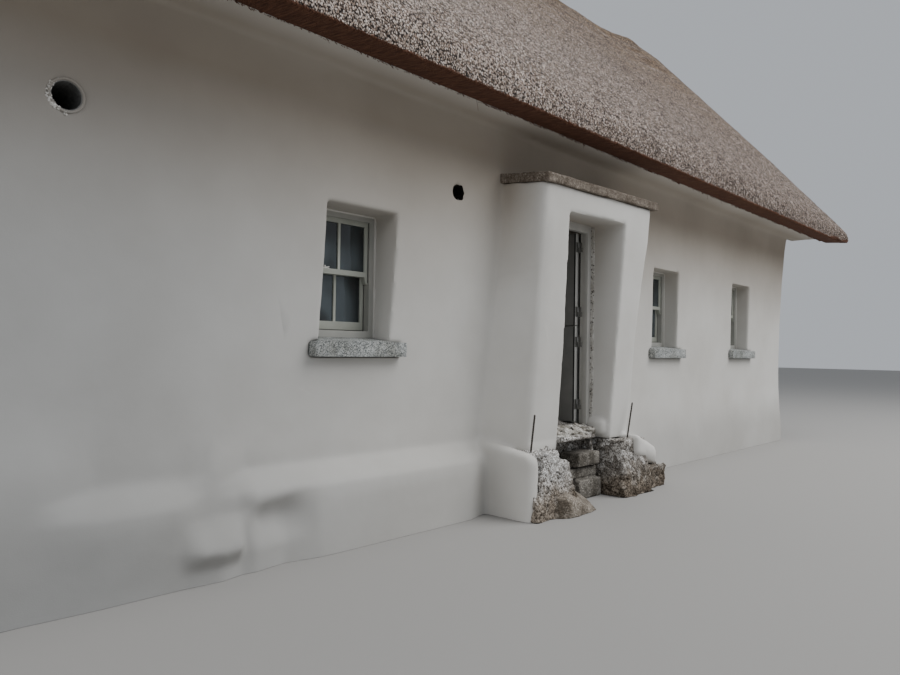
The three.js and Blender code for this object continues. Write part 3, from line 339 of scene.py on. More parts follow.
finishes = {
    "lime": limeRender(),
    "reed": reedThatch(),
    # single reed stems, dull brown in the shade of the eaves
    "stems": filmed(
        "reedStems", 0.8, 60, 2, [(0.3, "#4f3427"), (0.55, "#745040"), (0.8, "#967457")],
        Specular_IOR_Level=0.2,
    ),
    # dressed granite: quartz, feldspar and mica
    "granite": speckledStone(
        "granite", 0.75, 0.006,
        [(0.0, "#3f4243"), (0.3, "#7a7d7c"), (0.6, "#a3a6a4"), (1.0, "#cccdc9")], "#c5c4bd", 0.0015,
    ),
    # split flagstone, brown-grey with pale lichen grains
    "flagstone": speckledStone(
        "flagstone", 0.9, 0.011,
        [(0.0, "#5d5449"), (0.5, "#766c61"), (0.9, "#887e73"), (1.0, "#a89f94")], "#a89e92", 0.004,
    ),
    "rubble": rubbleMasonry(),
    # brown sandstone boulder
    "sandstone": speckledStone(
        "sandstone", 0.95, 0.009,
        [(0.0, "#635c52"), (0.5, "#827a6f"), (0.88, "#998f83"), (1.0, "#bab3a9")], "#867d71", 0.004,
    ),
    # squared blocks of an older step, grey and dull
    "blockstone": speckledStone(
        "blockstone", 0.95, 0.010,
        [(0.0, "#5d5953"), (0.5, "#7c776f"), (0.88, "#928d85"), (1.0, "#b0aba3")], "#827c72", 0.004,
    ),
    # thin flags with lime dust
    "dustyFlags": speckledStone(
        "dustyFlags", 0.95, 0.012,
        [(0.0, "#8c877e"), (0.4, "#b4b0a8"), (1.0, "#dedcd7")], "#9c958a", 0.003,
    ),
    "concrete": speckledStone(
        "oldConcrete", 0.9, 0.009,
        [(0.0, "#7d7a74"), (0.5, "#969389"), (1.0, "#b1aea6")], "#b0aca2", 0.002,
    ),
    "sash": paintedWood("sashPaint", "#a5a79c", "#aeb0a6", 0.42),
    "frame": paintedWood("framePaint", "#a0a09a", "#aba9a2", 0.45),
    # painted light: a lighter copy of the frame paint, for the door frame in the shade of the porch
    "doorFrame": paintedWood("frameLightenedPaint", "#b7b6b1", "#c1bfba", 0.45),
    "door": paintedWood("doorPaint", "#7b7b78", "#868582", 0.4),
    # painted highlight for the lit hinge edge of the door leaves
    "edge": paintedWood("edgeHighlightPaint", "#c2c1bc", "#cbcac5", 0.5),
    # painted shade: black strips for the shadow in the gaps and rebates of leaves and sashes
    "shadeStrip": paintedWood("rubberSeal", "#1a1a1a", "#242423", 0.6),
    # lime mortar pushed into the joint round the frame, full of holes
    "joint": speckledStone(
        "jointMortar", 1.0, 0.014,
        [(0.0, "#45413c"), (0.12, "#a39f99"), (0.3, "#cdcac4"), (1.0, "#dedcd8")], "#c9c6c0", 0.006,
    ),
    # painted shade: a near-black rough lining for the inside of the drilled holes
    "hollow": speckledStone(
        "holeShadeLining", 1.0, 0.012,
        [(0.0, "#0f0e0d"), (0.6, "#1e1b18"), (1.0, "#35302a")], "#4a443c", 0.004,
    ),
    "sealant": paintedWood("siliconeBead", "#dcdad4", "#cfcdc6", 0.5),
    # float glass, slightly uneven: its dark colour is painted shade of the room behind, and its blue-grey
    # mottling a painted reflection
    "glass": filmed(
        "floatGlass", 0.03, 3.2, 1, [(0.38, "#36393a"), (0.5, "#4c5456"), (0.62, "#6d787d")],
        (0.08, 0.004), Transmission_Weight=0.55, IOR=1.52,
    ),
    # pressed steel, and rolled steel with an uneven film of oxide
    "hinge": filmed(
        "dullSteel", 0.55, 90, 5, [(0.4, "#747371"), (0.65, "#8b8a84")], (0.4, 0.0003), Metallic=0.7,
    ),
    "rust": filmed(
        "rustySteel", 0.8, 120, 5, [(0.35, "#38332f"), (0.55, "#57504a"), (0.75, "#7f776f")],
        (0.4, 0.0008), Metallic=0.7,
    ),
    # extruded grey PVC drain pipe, dusted with lime
    "pvc": filmed("pvcPipe", 0.45, 40, 4, [(0.4, "#626261"), (0.7, "#7f7f7c")]),
}
print("materials made")


# making pieces

coarser = 1
angles = {"crisp": 24, "bevelled": 35, "smooth": 40, "skin": 55}  # in degrees


def apply(piece, kind, **settings):
    takeUp(piece)
    modifier = piece.modifiers.new("shape", kind)
    for key, value in settings.items():
        setattr(modifier, key, value)
    bpy.ops.object.modifier_apply(modifier=modifier.name)


def settled():
    # puts the place and size of a new primitive into its mesh
    bpy.ops.object.transform_apply(location=True, rotation=True, scale=True)
    return bpy.context.active_object


def slab(name, start, end):
    # a cube between two opposite corners
    low, high = (Vector([way(pair) for pair in zip(start, end)]) for way in (min, max))
    deselect()
    bpy.ops.mesh.primitive_cube_add(size=1, location=(low + high) / 2, scale=high - low)
    piece = settled()
    piece.name = name
    return piece


def rod(radius, depth, place, turn=(0, 0, 0), sides=12):
    deselect()
    bpy.ops.mesh.primitive_cylinder_add(
        vertices=sides, radius=radius, depth=depth, location=place, rotation=turn
    )
    return settled()


def joined(name, *pieces):
    takeUp(*pieces)
    if len(pieces) > 1:
        bpy.ops.object.join()
    piece = bpy.context.active_object
    piece.name = name
    return piece


def copyOf(name, *nodeNames):
    # one new piece from copies of CAD nodes, with their loose triangles merged
    copies = []
    for nodeName in nodeNames:
        copied = bpy.data.objects.new(name, nodes[nodeName].data.copy())
        bpy.context.scene.collection.objects.link(copied)
        copies.append(copied)
    piece = joined(name, *copies)
    piece.data.materials.clear()
    bpy.ops.object.mode_set(mode="EDIT")
    bpy.ops.mesh.select_all(action="SELECT")
    bpy.ops.mesh.remove_doubles(threshold=0.00005)
    bpy.ops.object.mode_set(mode="OBJECT")
    return piece


def dress(piece, finish, slot, *replaced, body="house"):
    if not piece.data.materials:
        piece.data.materials.append(finishes[finish])
    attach(piece, body)
    if replaced:
        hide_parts(*replaced)


def moveCorners(piece, moves):
    # corners inside a box, given by its low and high corner, go the way that stands beside it
    for corner in piece.data.vertices:
        for low, high, way in moves:
            if all(a < c < b for a, c, b in zip(low, corner.co, high)):
                for axis in range(3):
                    corner.co[axis] += way[axis]


def cutAt(place, normal, trim=True):
    # cuts the active piece along a plane, and trims off what lies beyond
    bpy.ops.object.mode_set(mode="EDIT")
    bpy.ops.mesh.select_all(action="SELECT")
    bpy.ops.mesh.bisect(plane_co=place, plane_no=normal, use_fill=trim, clear_outer=trim)
    bpy.ops.object.mode_set(mode="OBJECT")


def cutOut(piece, cutter):
    apply(piece, "BOOLEAN", object=cutter, operation="DIFFERENCE", solver="EXACT")
    bpy.data.objects.remove(cutter)


def swell(piece, octaves, name, scale, depth, **settings):
    # moves a surface out and in by a cloudy pattern
    texture = bpy.data.textures.new(name, type="CLOUDS")
    texture.noise_scale = scale
    texture.noise_depth = octaves
    apply(piece, "DISPLACE", texture=texture, strength=depth, mid_level=0.5, **settings)


def softened(piece, width, segments=2):
    limit = {"limit_method": "ANGLE", "angle_limit": math.radians(angles["bevelled"])}
    apply(piece, "BEVEL", width=width, segments=segments, **limit)
    takeUp(piece)
    bpy.ops.object.shade_smooth_by_angle(angle=math.radians(angles["smooth"]))
    return piece


def points(piece):
    co = np.zeros(len(piece.data.vertices) * 3)
    piece.data.vertices.foreach_get("co", co)
    return co.reshape(-1, 3)


def sharpPoints(piece, step, keep):
    # points along the sharp edges of a faceted piece, where keep says that they stay crisp
    takeUp(piece)
    bpy.ops.object.mode_set(mode="EDIT")
    bpy.ops.mesh.select_mode(type="EDGE")
    bpy.ops.mesh.select_all(action="DESELECT")
    bpy.ops.mesh.edges_select_sharp(sharpness=math.radians(angles["crisp"]))
    bpy.ops.object.mode_set(mode="OBJECT")
    found = []
    for edge in piece.data.edges:
        if edge.select:
            a, b = (piece.data.vertices[i].co for i in edge.vertices)
            count = max(1, int((b - a).length / step))
            found += [a.lerp(b, i / count) for i in range(count + 1)]
    return [p for p in found if keep(p)]


def distances(piece, sharp):
    # how far each point of a piece lies from the nearest sharp edge
    tree = KDTree(len(sharp))
    for i, p in enumerate(sharp):
        tree.insert(p, i)
    tree.balance()
    return np.array([tree.find(p)[2] for p in points(piece)])


def weighted(piece, name, weights):
    group = piece.vertex_groups.new(name=name)
    steps = np.round(np.clip(weights, 0, 1) * 10).astype(int)
    for step in range(11):
        found = np.nonzero(steps == step)[0]
        if len(found):
            group.add(found.tolist(), step / 10, "REPLACE")
    return name


def ramp(value, start, end):
    share = np.clip((value - start) / (end - start), 0, 1)
    return share * share * (3 - 2 * share)


def footDown(piece, depth):
    # lengthens a piece below the ground before it is rounded, so that its foot stays crisp
    for corner in piece.data.vertices:
        if corner.co.z < 0.001:
            corner.co.z = -depth


def footUp(piece):
    co = points(piece)
    co[:, 2] = np.maximum(co[:, 2], 0)
    piece.data.vertices.foreach_set("co", co.ravel())
    piece.data.update()


def skin(piece, values, keep):
    # one continuous soft skin: remeshed, rounded at its arrises and smoothed in the open
    sharp = sharpPoints(piece, values["sharpStep"], keep)
    footDown(piece, values["footDepth"])
    source = piece.copy()
    source.data = piece.data.copy()
    bpy.context.scene.collection.objects.link(source)
    apply(piece, "REMESH", mode="VOXEL", voxel_size=values["voxel"] * coarser)
    apply(piece, "SHRINKWRAP", target=source, wrap_method="NEAREST_SURFACEPOINT")
    bpy.data.objects.remove(source)
    away = distances(piece, sharp)
    outside = 1.0 - values["hidden"](points(piece))
    openParts = weighted(piece, "open", ramp(away, *values["openFrom"]) * outside)
    wavy = weighted(piece, "wavy", ramp(away, *values["wavyFrom"]) * outside)
    plain = values["plain"](points(piece)) if "plain" in values else 1.0
    # hidden and open parts are thinned first
    spareShare = plain * (0.2 + 0.8 * ramp(away, 0.05, 0.3))
    spare = weighted(piece, "spare", np.maximum(spareShare, 1 - outside))
    apply(piece, "SMOOTH", factor=0.5, iterations=values["rounding"])
    apply(piece, "SMOOTH", factor=0.5, iterations=values["openRounds"], vertex_group=openParts)
    if "forms" in values:
        values["forms"](piece)
    for wave in values["waves"]:
        swell(piece, 2, *wave, vertex_group=wavy)
    footUp(piece)
    share = values["triangles"] / (2 * len(piece.data.polygons))
    if share < 1:
        apply(piece, "DECIMATE", ratio=share, vertex_group=spare, vertex_group_factor=0.5)
    takeUp(piece)
    bpy.ops.object.shade_smooth_by_angle(angle=math.radians(angles["skin"]))
    return piece


# walls, porch and soffits, rendered in one go


def ledgeStep(value, top, foot):
    # nothing above top, then straight out to a crisp arris at foot
    share = min(max((top - value) / (top - foot), 0), 1)
    return share * share * (3 - 2 * share) * 0.35 + share * 0.65


plinth = {
    "reach": ((-7, -3.1, -1), (-1.0, -2.78, 1.0)),  # the part of the front that the forms may touch
    # thrown-on coats over old boulders: how far each stands out, where it rises along the wall (0) and
    # up it (2), from a share of its depth to the whole, and the top and foot of its ledge
    "forms": [
        # boss
        (0.07, [(0, -3.98, -3.82, 0), (0, -3.50, -3.59, 0), (2, 0.07, 0.2, 0)], (0.39, 0.205)),
        # hollow beside it
        (-0.06, [(0, -3.54, -3.36, 0), (0, -2.95, -3.25, 0), (2, 0.12, 0.32, 0), (2, 0.47, 0.32, 0)], None),
        # lower shoulder
        (0.045, [(0, -4.85, -4.35, 0), (0, -3.75, -4.0, 0), (2, 0.0, 0.45, 0.5)], (0.61, 0.475)),
        # ledge
        (0.06, [(0, -3.2, -2.9, 2 / 3), (0, -3.56, -3.42, 0), (0, -1.12, -1.4, 0)], (0.645, 0.49)),
    ],
}


def plinthForms(piece):
    low, high = plinth["reach"]
    for corner in piece.data.vertices:
        if all(a <= c <= b for a, c, b in zip(low, corner.co, high)):
            total = 0
            for out, rises, ledge in plinth["forms"]:
                for axis, start, end, share in rises:
                    out *= share + (1 - share) * ramp(corner.co[axis], start, end)
                total += out * ledgeStep(corner.co.z, *ledge) if ledge else out
            corner.co.y -= total


walls = {
    "sharpStep": 0.04,
    "footDepth": 0.12,
    "voxel": 0.0215,
    "openFrom": (0.04, 0.12),
    "wavyFrom": (0.08, 0.35),
    "rounding": 3,
    "openRounds": 12,
    "forms": plinthForms,
    "hidden": lambda co: (np.abs(co[:, 1]) < 2.3) & (np.abs(co[:, 0]) < 6.32),
    # the plinth keeps its detail
    "plain": lambda co: 1.0 - 0.85 * ((co[:, 2] < 0.8) & (co[:, 1] < -2.7) & (np.abs(co[:, 0] + 3) < 2.2)),
    "waves": [("slowWaves", 0.9, 0.016), ("handWaves", 0.28, 0.005)],
    "triangles": 195000,
    # render carried over the footings, each a box and its rounding: the left side, the spill on the
    # right, a lump in the passage and the foot of the left pier
    "coats": [
        ((-1.105, -3.44, -0.12), (-0.955, -2.80, 0.66), 0.065),
        ((0.72, -3.47, 0.40), (1.42, -2.80, 0.615), 0.05),
        ((0.42, -3.22, 0.60), (0.57, -3.0, 0.77), 0.05),
        ((-0.90, -3.268, 0.53), (-0.475, -3.0, 0.63), 0.012),
    ],
    # the left side falls to the front, and the spill falls and narrows to the right
    "coatMoves": [
        ((-2, -4, 0), (-0.93, -3.2, 1), (0, 0, -0.10)),
        ((1.2, -4, 0), (2, -2, 1), (0, 0, -0.20)),
        ((1.2, -4, -1), (2, -3, 1), (0, 0.16, 0)),
    ],
    "wallMoves": [
        # the soffit runs on into the thatch
        ((-9, -4, 3.4), (9, -3.23, 9), (0, -0.06, 0)),
        ((-9, 3.23, 3.4), (9, 4, 9), (0, 0.06, 0)),
        # the right pier is plastered a little wider
        ((1.0, -4, 0.5), (1.1, -3.3, 9), (0.02, 0, 0)),
        # the opening of the porch isn't quite level, and the first window's left jamb leans
        ((-0.6, -4, 2.69), (-0.4, -3.3, 2.8), (0, 0, -0.017)),
        ((0.4, -4, 2.69), (0.6, -3.3, 2.8), (0, 0, 0.010)),
        ((-2.92, -4, 1.5), (-2.89, -2.8, 2.6), (0.015, 0, 0)),
    ],
    # place along the wall, height, radius, wobble of the rim
    "ventHole": (-4.63, 2.785, 0.079, 0.0),
    "smallHole": (-1.490, 2.806, 0.054, 0.008),
    "holeDepth": 0.9,
    "holeStart": -3.1,
}
rendered = [
    "front_wall_left", "front_wall_right", "front_wall_over_door", "rear_wall", "left_gable_wall",
    "right_gable_wall", "porch_pier_left", "porch_pier_right", "porch_head", "front_soffit", "rear_soffit",
]


def crispOnWalls(p):
    beside = -3.0 < p.y < -2.75 and 0.62 < abs(p.x) < 1.5 and p.z > 0.3
    cove = p.z > 3.3 and abs(p.y) < 3.15
    inGable = abs(p.x) > 6.7 and abs(p.y) < 2.3
    onPlinth = p.z < 0.95 and abs(p.x) < 6.6 and p.y < -2.8 and not -1.2 < p.x < 1.2
    return not (beside or cove or inGable or onPlinth)


def drilled(piece, x, z, radius, wobble):
    # an opening cut straight through the finished skin, with its own rough lining, painted near-black as
    # shade
    start, depth = walls["holeStart"], walls["holeDepth"]
    cutter = rod(radius, depth, (x, start + depth / 2, z), (math.pi / 2, 0, 0), 28)
    for corner in cutter.data.vertices:
        away = Vector((corner.co.x - x, 0, corner.co.z - z))
        turn = math.atan2(away.z, away.x)
        lens = 2 * abs(math.sin(turn)) ** 3 - 0.7 + 0.4 * math.sin(5 * turn + 1)
        corner.co += away.normalized() * wobble * lens
    cutOut(piece, cutter)
    reach = radius + 2 * wobble + 0.004
    for face in piece.data.polygons:
        inside = math.hypot(face.center.x - x, face.center.z - z) < reach and abs(face.normal.y) < 0.4
        if inside and face.center.y < start + depth + 0.01:
            face.material_index = 1


coats = []
for low, high, width in walls["coats"]:
    coats.append(slab("coat", low, high))
    moveCorners(coats[-1], walls["coatMoves"])
    apply(coats[-1], "BEVEL", width=width, segments=4, limit_method="ANGLE")
bareWalls = copyOf("bareWalls", *rendered)
moveCorners(bareWalls, walls["wallMoves"])
limeWalls = skin(joined("limeWalls", bareWalls, *coats), walls, crispOnWalls)
limeWalls.data.materials.append(finishes["lime"])
limeWalls.data.materials.append(finishes["hollow"])
drilled(limeWalls, *walls["ventHole"])
drilled(limeWalls, *walls["smallHole"])
dress(limeWalls, "lime", "lime_render", *rendered)
print("walls rendered:", len(limeWalls.data.polygons))


# thatch

thatch = {
    "sharpStep": 0.04,
    "footDepth": 0.12,
    "voxel": 0.045,
    "openFrom": (0.05, 0.25),
    "wavyFrom": (0.03, 0.12),
    "hidden": lambda co: 0.6667 * co[:, 2] + 0.7454 * np.abs(co[:, 1]) < 4.93,
    "rounding": 1,
    "openRounds": 25,
    "waves": [("reedWaves", 0.7, 0.03), ("reedClumps", 0.09, 0.012)],
    "triangles": 195000,
}
thatchNodes = ["thatch_front", "thatch_rear", "thatch_ridge"]
bareThatch = copyOf("thatchCoat", *thatchNodes)
thatchCoat = skin(bareThatch, thatch, lambda p: p.z < 4.2 or abs(p.x) > 7.5)
dress(thatchCoat, "reed", "reed_thatch", *thatchNodes)
print("thatch laid:", len(thatchCoat.data.polygons))


# many copies of a few small masters, joined in one mesh


def masterMesh(piece):
    # takes a small shape's corners and faces, and puts the shape away
    faces = [list(face.vertices) for face in piece.data.polygons]
    corners = points(piece)
    bpy.data.objects.remove(piece)
    return corners, faces


def scatter(name, masters, places):
    corners, faces, start = [], [], 0
    for which, matrix in places:
        shape, sides = masters[which]
        turned = np.array(matrix.to_3x3())
        corners.append(shape @ turned.T + np.array(matrix.translation))
        faces += [[i + start for i in side] for side in sides]
        start += len(shape)
    mesh = bpy.data.meshes.new(name)
    mesh.from_pydata(np.concatenate(corners).tolist(), [], faces)
    piece = bpy.data.objects.new(name, mesh)
    bpy.context.scene.collection.objects.link(piece)
    return piece


def reedMaster(bend):
    # a straight stem of four sides, 1 m long along -Z from its root, bent a little
    deselect()
    bpy.ops.mesh.primitive_cone_add(vertices=4, radius1=0.6, radius2=1.0, depth=1, location=(0, 0, -0.5))
    piece = settled()
    cutAt((0, 0, -0.5), (0, 0, 1), trim=False)
    for corner in piece.data.vertices:
        if abs(corner.co.z + 0.5) < 0.01:
            corner.co.x += bend
    return masterMesh(piece)


def stem(place, direction, length, thick):
    # a matrix that lays a reed master from place along direction
    turn = Vector((0, 0, -1)).rotation_difference(direction).to_matrix().to_4x4()
    spin = Matrix.Rotation(random.uniform(0, 6.28), 4, "Z")
    size = Matrix.Diagonal((thick, thick, length, 1))
    return Matrix.Translation(place) @ turn @ spin @ size


eaves = {
    # inner edge and arris: distance from the ridge line, height, and how far reeds stand out
    "edges": ((3.252, 3.487, 0.028), (3.557, 3.455, 0.020)),
    "length": 7.66,
    "toothRun": 0.0063,
    "root": 0.03,  # length hidden in the thatch
    "thick": (0.0022, 0.0050),
    "strays": 30,
    "strayLength": (0.07, 0.16),
    "strayThick": 0.0018,
}
reeds = [reedMaster(bend) for bend in (0, 0.4, -0.5)]


def eavesReeds(side):
    places = []
    x = -eaves["length"]
    clump = 0.5
    while x < eaves["length"]:
        x += random.uniform(0.3, 1.7) * eaves["toothRun"]
        clump = min(max(clump + random.uniform(-0.3, 0.3), 0), 1)
        for middle, height, reach in eaves["edges"]:
            y = middle + random.uniform(-0.012, 0.012)
            lean = Vector((random.gauss(0, 0.25), side * 0.667, -0.745)).normalized()
            out = reach * random.uniform(0.1, 1) * (0.4 + clump)
            root = Vector((x, side * y, height + random.uniform(0, 0.01))) - lean * eaves["root"]
            which, thick = random.randrange(3), random.uniform(*eaves["thick"])
            places.append((which, stem(root, lean, eaves["root"] + out, thick)))
    for i in range(eaves["strays"]):
        x = random.uniform(-7.5, 7.5)
        y = random.uniform(3.255, 3.5)
        lean = Vector((random.gauss(0, 0.6), side * random.uniform(-0.2, 0.6), -1)).normalized()
        which, length = random.randrange(3), random.uniform(*eaves["strayLength"])
        places.append((which, stem(Vector((x, side * y, 3.5)), lean, length, eaves["strayThick"])))
    return places


eavesFringe = scatter("eavesFringe", reeds, eavesReeds(-1) + eavesReeds(1))
dress(eavesFringe, "stems", "reed_thatch")
print("eaves trimmed:", len(eavesFringe.data.polygons))


# windows

windows = {
    "groups": ["front_window_1", "front_window_2", "front_window_3", "rear_window_1", "rear_window_2"],
    # of each sash: how far it laps behind the other, and its lower and upper rail
    "sashes": {"upper_sash": (0.05, 0.034, 0.03), "lower_sash": (0, 0.065, 0.034)},
    "stile": 0.03,
    "bevel": 0.003,
    "footGap": 0.007,
    "glassInset": 0.018,
    "glassThick": 0.004,
    "groove": 0.014,
    "grooveOut": 0.0008,
    "bead": 0.012,
    "sunk": 0.002,  # how far beads and grooves reach into the timber
    "catch": (0.19, 0.009),  # distance of a fastener from the jamb, and behind the upper sash's face
}


def nodesNamed(*ends):
    return [group + "_" + end for group in windows["groups"] for end in ends]


def outerFace(node, outward):
    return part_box(node)[0 if outward < 0 else 1][1]


frameNodes, sashNodes = nodesNamed("frame"), nodesNamed("upper_sash", "lower_sash")
windowFrames = softened(copyOf("windowFrames", *frameNodes), windows["bevel"])
dress(windowFrames, "frame", "sash_paint", *frameNodes)
windowSashes = copyOf("windowSashes", *sashNodes)
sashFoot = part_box("front_window_1_lower_sash")[0][2]
moveCorners(windowSashes, [((-9, -9, -1), (9, 9, sashFoot + 0.001), (0, 0, windows["footGap"]))])
softened(windowSashes, windows["bevel"])
dress(windowSashes, "sash", "sash_paint", *sashNodes)

panes, beads, grooves, catches = [], [], [], []
for group in windows["groups"]:
    outward = -1 if "front" in group else 1
    sunk = outward * windows["sunk"]
    for sash, (lap, footRail, headRail) in windows["sashes"].items():
        low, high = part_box(group + "_" + sash)
        face = outerFace(group + "_" + sash, outward)
        bottom, half = low[2] + lap, windows["groove"] / 2
        # the running gap between stile and frame, its shadow painted as a black strip
        for x in (low[0], high[0]):
            start = (x - half, face + outward * windows["grooveOut"], bottom - 0.04)
            grooves.append(slab("groove", start, (x + half, face - sunk, high[2])))
        near = face - outward * windows["glassInset"]
        far = face - outward * (windows["glassInset"] + windows["glassThick"])
        start = (low[0] + windows["stile"], near, bottom + footRail)
        panes.append(slab("pane", start, (high[0] - windows["stile"], far, high[2] - headRail)))
    low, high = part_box(group + "_frame")
    face, bead = outerFace(group + "_frame", outward), windows["bead"]
    for x0, x1, z0, z1 in (
        (low[0] - 0.002, low[0] + bead, low[2], high[2]),
        (high[0] - bead, high[0] + 0.002, low[2], high[2]),
        (low[0], high[0], high[2] - bead, high[2] + 0.002),
    ):
        beads.append(slab("bead", (x0, face + outward * bead, z0), (x1, face - sunk, z1)))
    # fitch fastener on the meeting rails: plate, boss and lever
    x = low[0] + windows["catch"][0]
    y = outerFace(group + "_upper_sash", outward) - outward * windows["catch"][1]
    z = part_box(group + "_lower_sash")[1][2]
    catches.append(slab("catch", (x, y - 0.008, z - 0.001), (x + 0.06, y + 0.008, z + 0.005)))
    catches.append(rod(0.008, 0.02, (x + 0.02, y, z + 0.012)))
    deselect()
    bpy.ops.mesh.primitive_cone_add(
        vertices=12, radius1=0.005, radius2=0.003, depth=0.04,
        location=(x + 0.045, y, z + 0.01), rotation=(0, 1.3, 0),
    )
    catches.append(settled())
windowPanes = softened(joined("windowPanes", *panes), 0.001, 1)
dress(windowPanes, "glass", "window_glass", *nodesNamed("glass"))
dress(softened(joined("sealantBeads", *beads), 0.003), "sealant", "sash_paint")
dress(joined("sashGrooves", *grooves), "shadeStrip", "sash_paint")
dress(softened(joined("sashFasteners", *catches), 0.002), "sealant", "sash_paint")
print("windows glazed")


# sills, cap and footings: sawn, punched and broken stone

stone = {
    "sillArris": 0.004,
    "sillMoves": [((-9, -9, 0), (9, -2.88, 9), (0, -0.018, 0)), ((-9, 2.88, 0), (9, 9, 9), (0, 0.018, 0))],
    # voxel, then name, scale and depth of each kind of chip, then rounds of smoothing
    "cap": (0.009, [("weathered", 0.2, 0.005), ("pitted", 0.025, 0.004)]),
    "footing": (0.02, [("broken", 0.1, 0.05), ("crumbled", 0.03, 0.02)]),
    "bed": (0.016, [("mortar", 0.05, 0.012)]),
    "boulder": (0.016, [("boulderFaces", 0.2, 0.03), ("boulderPits", 0.04, 0.008)], 2),
    "step": (0.010, [("hewn", 0.07, 0.009)]),
    "joint": (0.006, [("pushedIn", 0.03, 0.006)]),
    # loose stones: range of sizes, range of flatness, how far they sink in, width of their arrises
    "rubbleStones": ((0.03, 0.11), (0.5, 0.9), 0.3, 0.002),
    "ventCollar": ((0.012, 0.034), (0.4, 0.7), 0.3, 0.0008),
    "renderSplashes": ((0.03, 0.08), (0.3, 0.5), 0.3, 0.004),
    "thresholdStones": ((0.06, 0.2), (0.12, 0.25), 0.02, 0.0015),
    "jointCrumbs": ((0.010, 0.026), (0.4, 0.8), 0.2, 0.0006),
}


def roughStone(piece, voxel, chips, rounds=1):
    apply(piece, "REMESH", mode="VOXEL", voxel_size=voxel * coarser)
    apply(piece, "SMOOTH", factor=0.5, iterations=rounds)
    for chip in chips:
        swell(piece, 3, *chip)
    takeUp(piece)
    bpy.ops.object.shade_smooth()
    return piece


sillNodes = nodesNamed("sill")
graniteSills = copyOf("graniteSills", *sillNodes)
moveCorners(graniteSills, stone["sillMoves"])
softened(graniteSills, stone["sillArris"])
dress(graniteSills, "granite", "granite", *sillNodes)
porchCap = roughStone(copyOf("porchCap", "porch_cap"), *stone["cap"])
dress(porchCap, "flagstone", "cap_stone", "porch_cap")
print("sills and cap:", len(graniteSills.data.polygons), len(porchCap.data.polygons))


def stoneMaster(cuts):
    # a pebble whose corners are knocked off by a few cuts
    deselect()
    bpy.ops.mesh.primitive_ico_sphere_add(subdivisions=2, radius=0.5, location=(0, 0, 0))
    piece = bpy.context.active_object
    for i in range(cuts):
        way = Vector((random.gauss(0, 1), random.gauss(0, 1), random.gauss(0, 1))).normalized()
        cutAt(way * random.uniform(0.22, 0.36), way)
    return masterMesh(piece)


stones = [stoneMaster(5) for i in range(6)]


def surfaceSpots(piece, count, allowed):
    # random spots on a piece's faces, more on large faces, with their normals
    faces = [face for face in piece.data.polygons if allowed(face.center, face.normal)]
    shares = np.cumsum([face.area for face in faces])
    spots = []
    for i in range(count):
        face = faces[int(np.searchsorted(shares, random.random() * shares[-1]))]
        spots.append((face.center.copy(), face.normal.copy()))
    return spots


def strew(name, spots, finish, slot):
    # a piece of loose stones, one on each spot
    size, flat, sunk, arris = stone[name]
    places = []
    for place, normal in spots:
        big = random.uniform(*size) * random.uniform(0.6, 1)
        shape = Matrix.Diagonal((big, big * random.uniform(0.6, 0.95), big * random.uniform(*flat), 1))
        turn = normal.to_track_quat("Z", "Y").to_matrix().to_4x4()
        tilt = Euler((random.gauss(0, 0.35), random.gauss(0, 0.35), random.uniform(0, 6.28)))
        at = Matrix.Translation(place - normal * big * sunk * random.uniform(0.5, 1))
        whole = at @ turn @ tilt.to_matrix().to_4x4() @ shape
        places.append((random.randrange(len(stones)), whole))
    piece = scatter(name, stones, places)
    dress(softened(piece, arris, 1), finish, slot)
    return piece


footing = {
    # boxes: the hollow in the middle, the broken corner on the left and the toe on the right
    "hollow": ((-0.44, -3.3, 0.36), (0.36, -2.985, 0.6)),
    "corner": ((-0.64, -3.6, 0.505), (-0.43, -3.28, 0.62)),
    "cornerMoves": [((-0.5, -4, 0), (0, -3, 0.6), (0, 0, -0.08))],
    "toe": ((0.95, -3.40, 0), (1.42, -3.1, 0.22)),
    "depth": 0.08,
    "stones": 620,
}
footingNodes = ["porch_footing_left", "porch_footing_right", "front_wall_below_door"]
middleFooting = copyOf("middleFooting", "porch_footing_middle")
cutOut(middleFooting, slab("hollowCut", *footing["hollow"]))
sideFootings = copyOf("sideFootings", *footingNodes)
brokenCorner = slab("brokenCorner", *footing["corner"])
moveCorners(brokenCorner, footing["cornerMoves"])
cutOut(sideFootings, brokenCorner)
footings = joined("footings", sideFootings, middleFooting, slab("toe", *footing["toe"]))
footDown(footings, footing["depth"])
roughStone(footings, *stone["footing"])
footUp(footings)
dress(footings, "rubble", "rubble", *footingNodes, "porch_footing_middle")


def stonesShow(p, n):
    inFront = p.y < -2.92 and -1.0 < p.x < 1.5 and n.y < 0.5
    return inFront and p.z > 0.02 and (p.x < 0.66 or p.z < 0.38)


showing = surfaceSpots(footings, footing["stones"], stonesShow)
rubbleStones = strew("rubbleStones", showing, "rubble", "rubble")

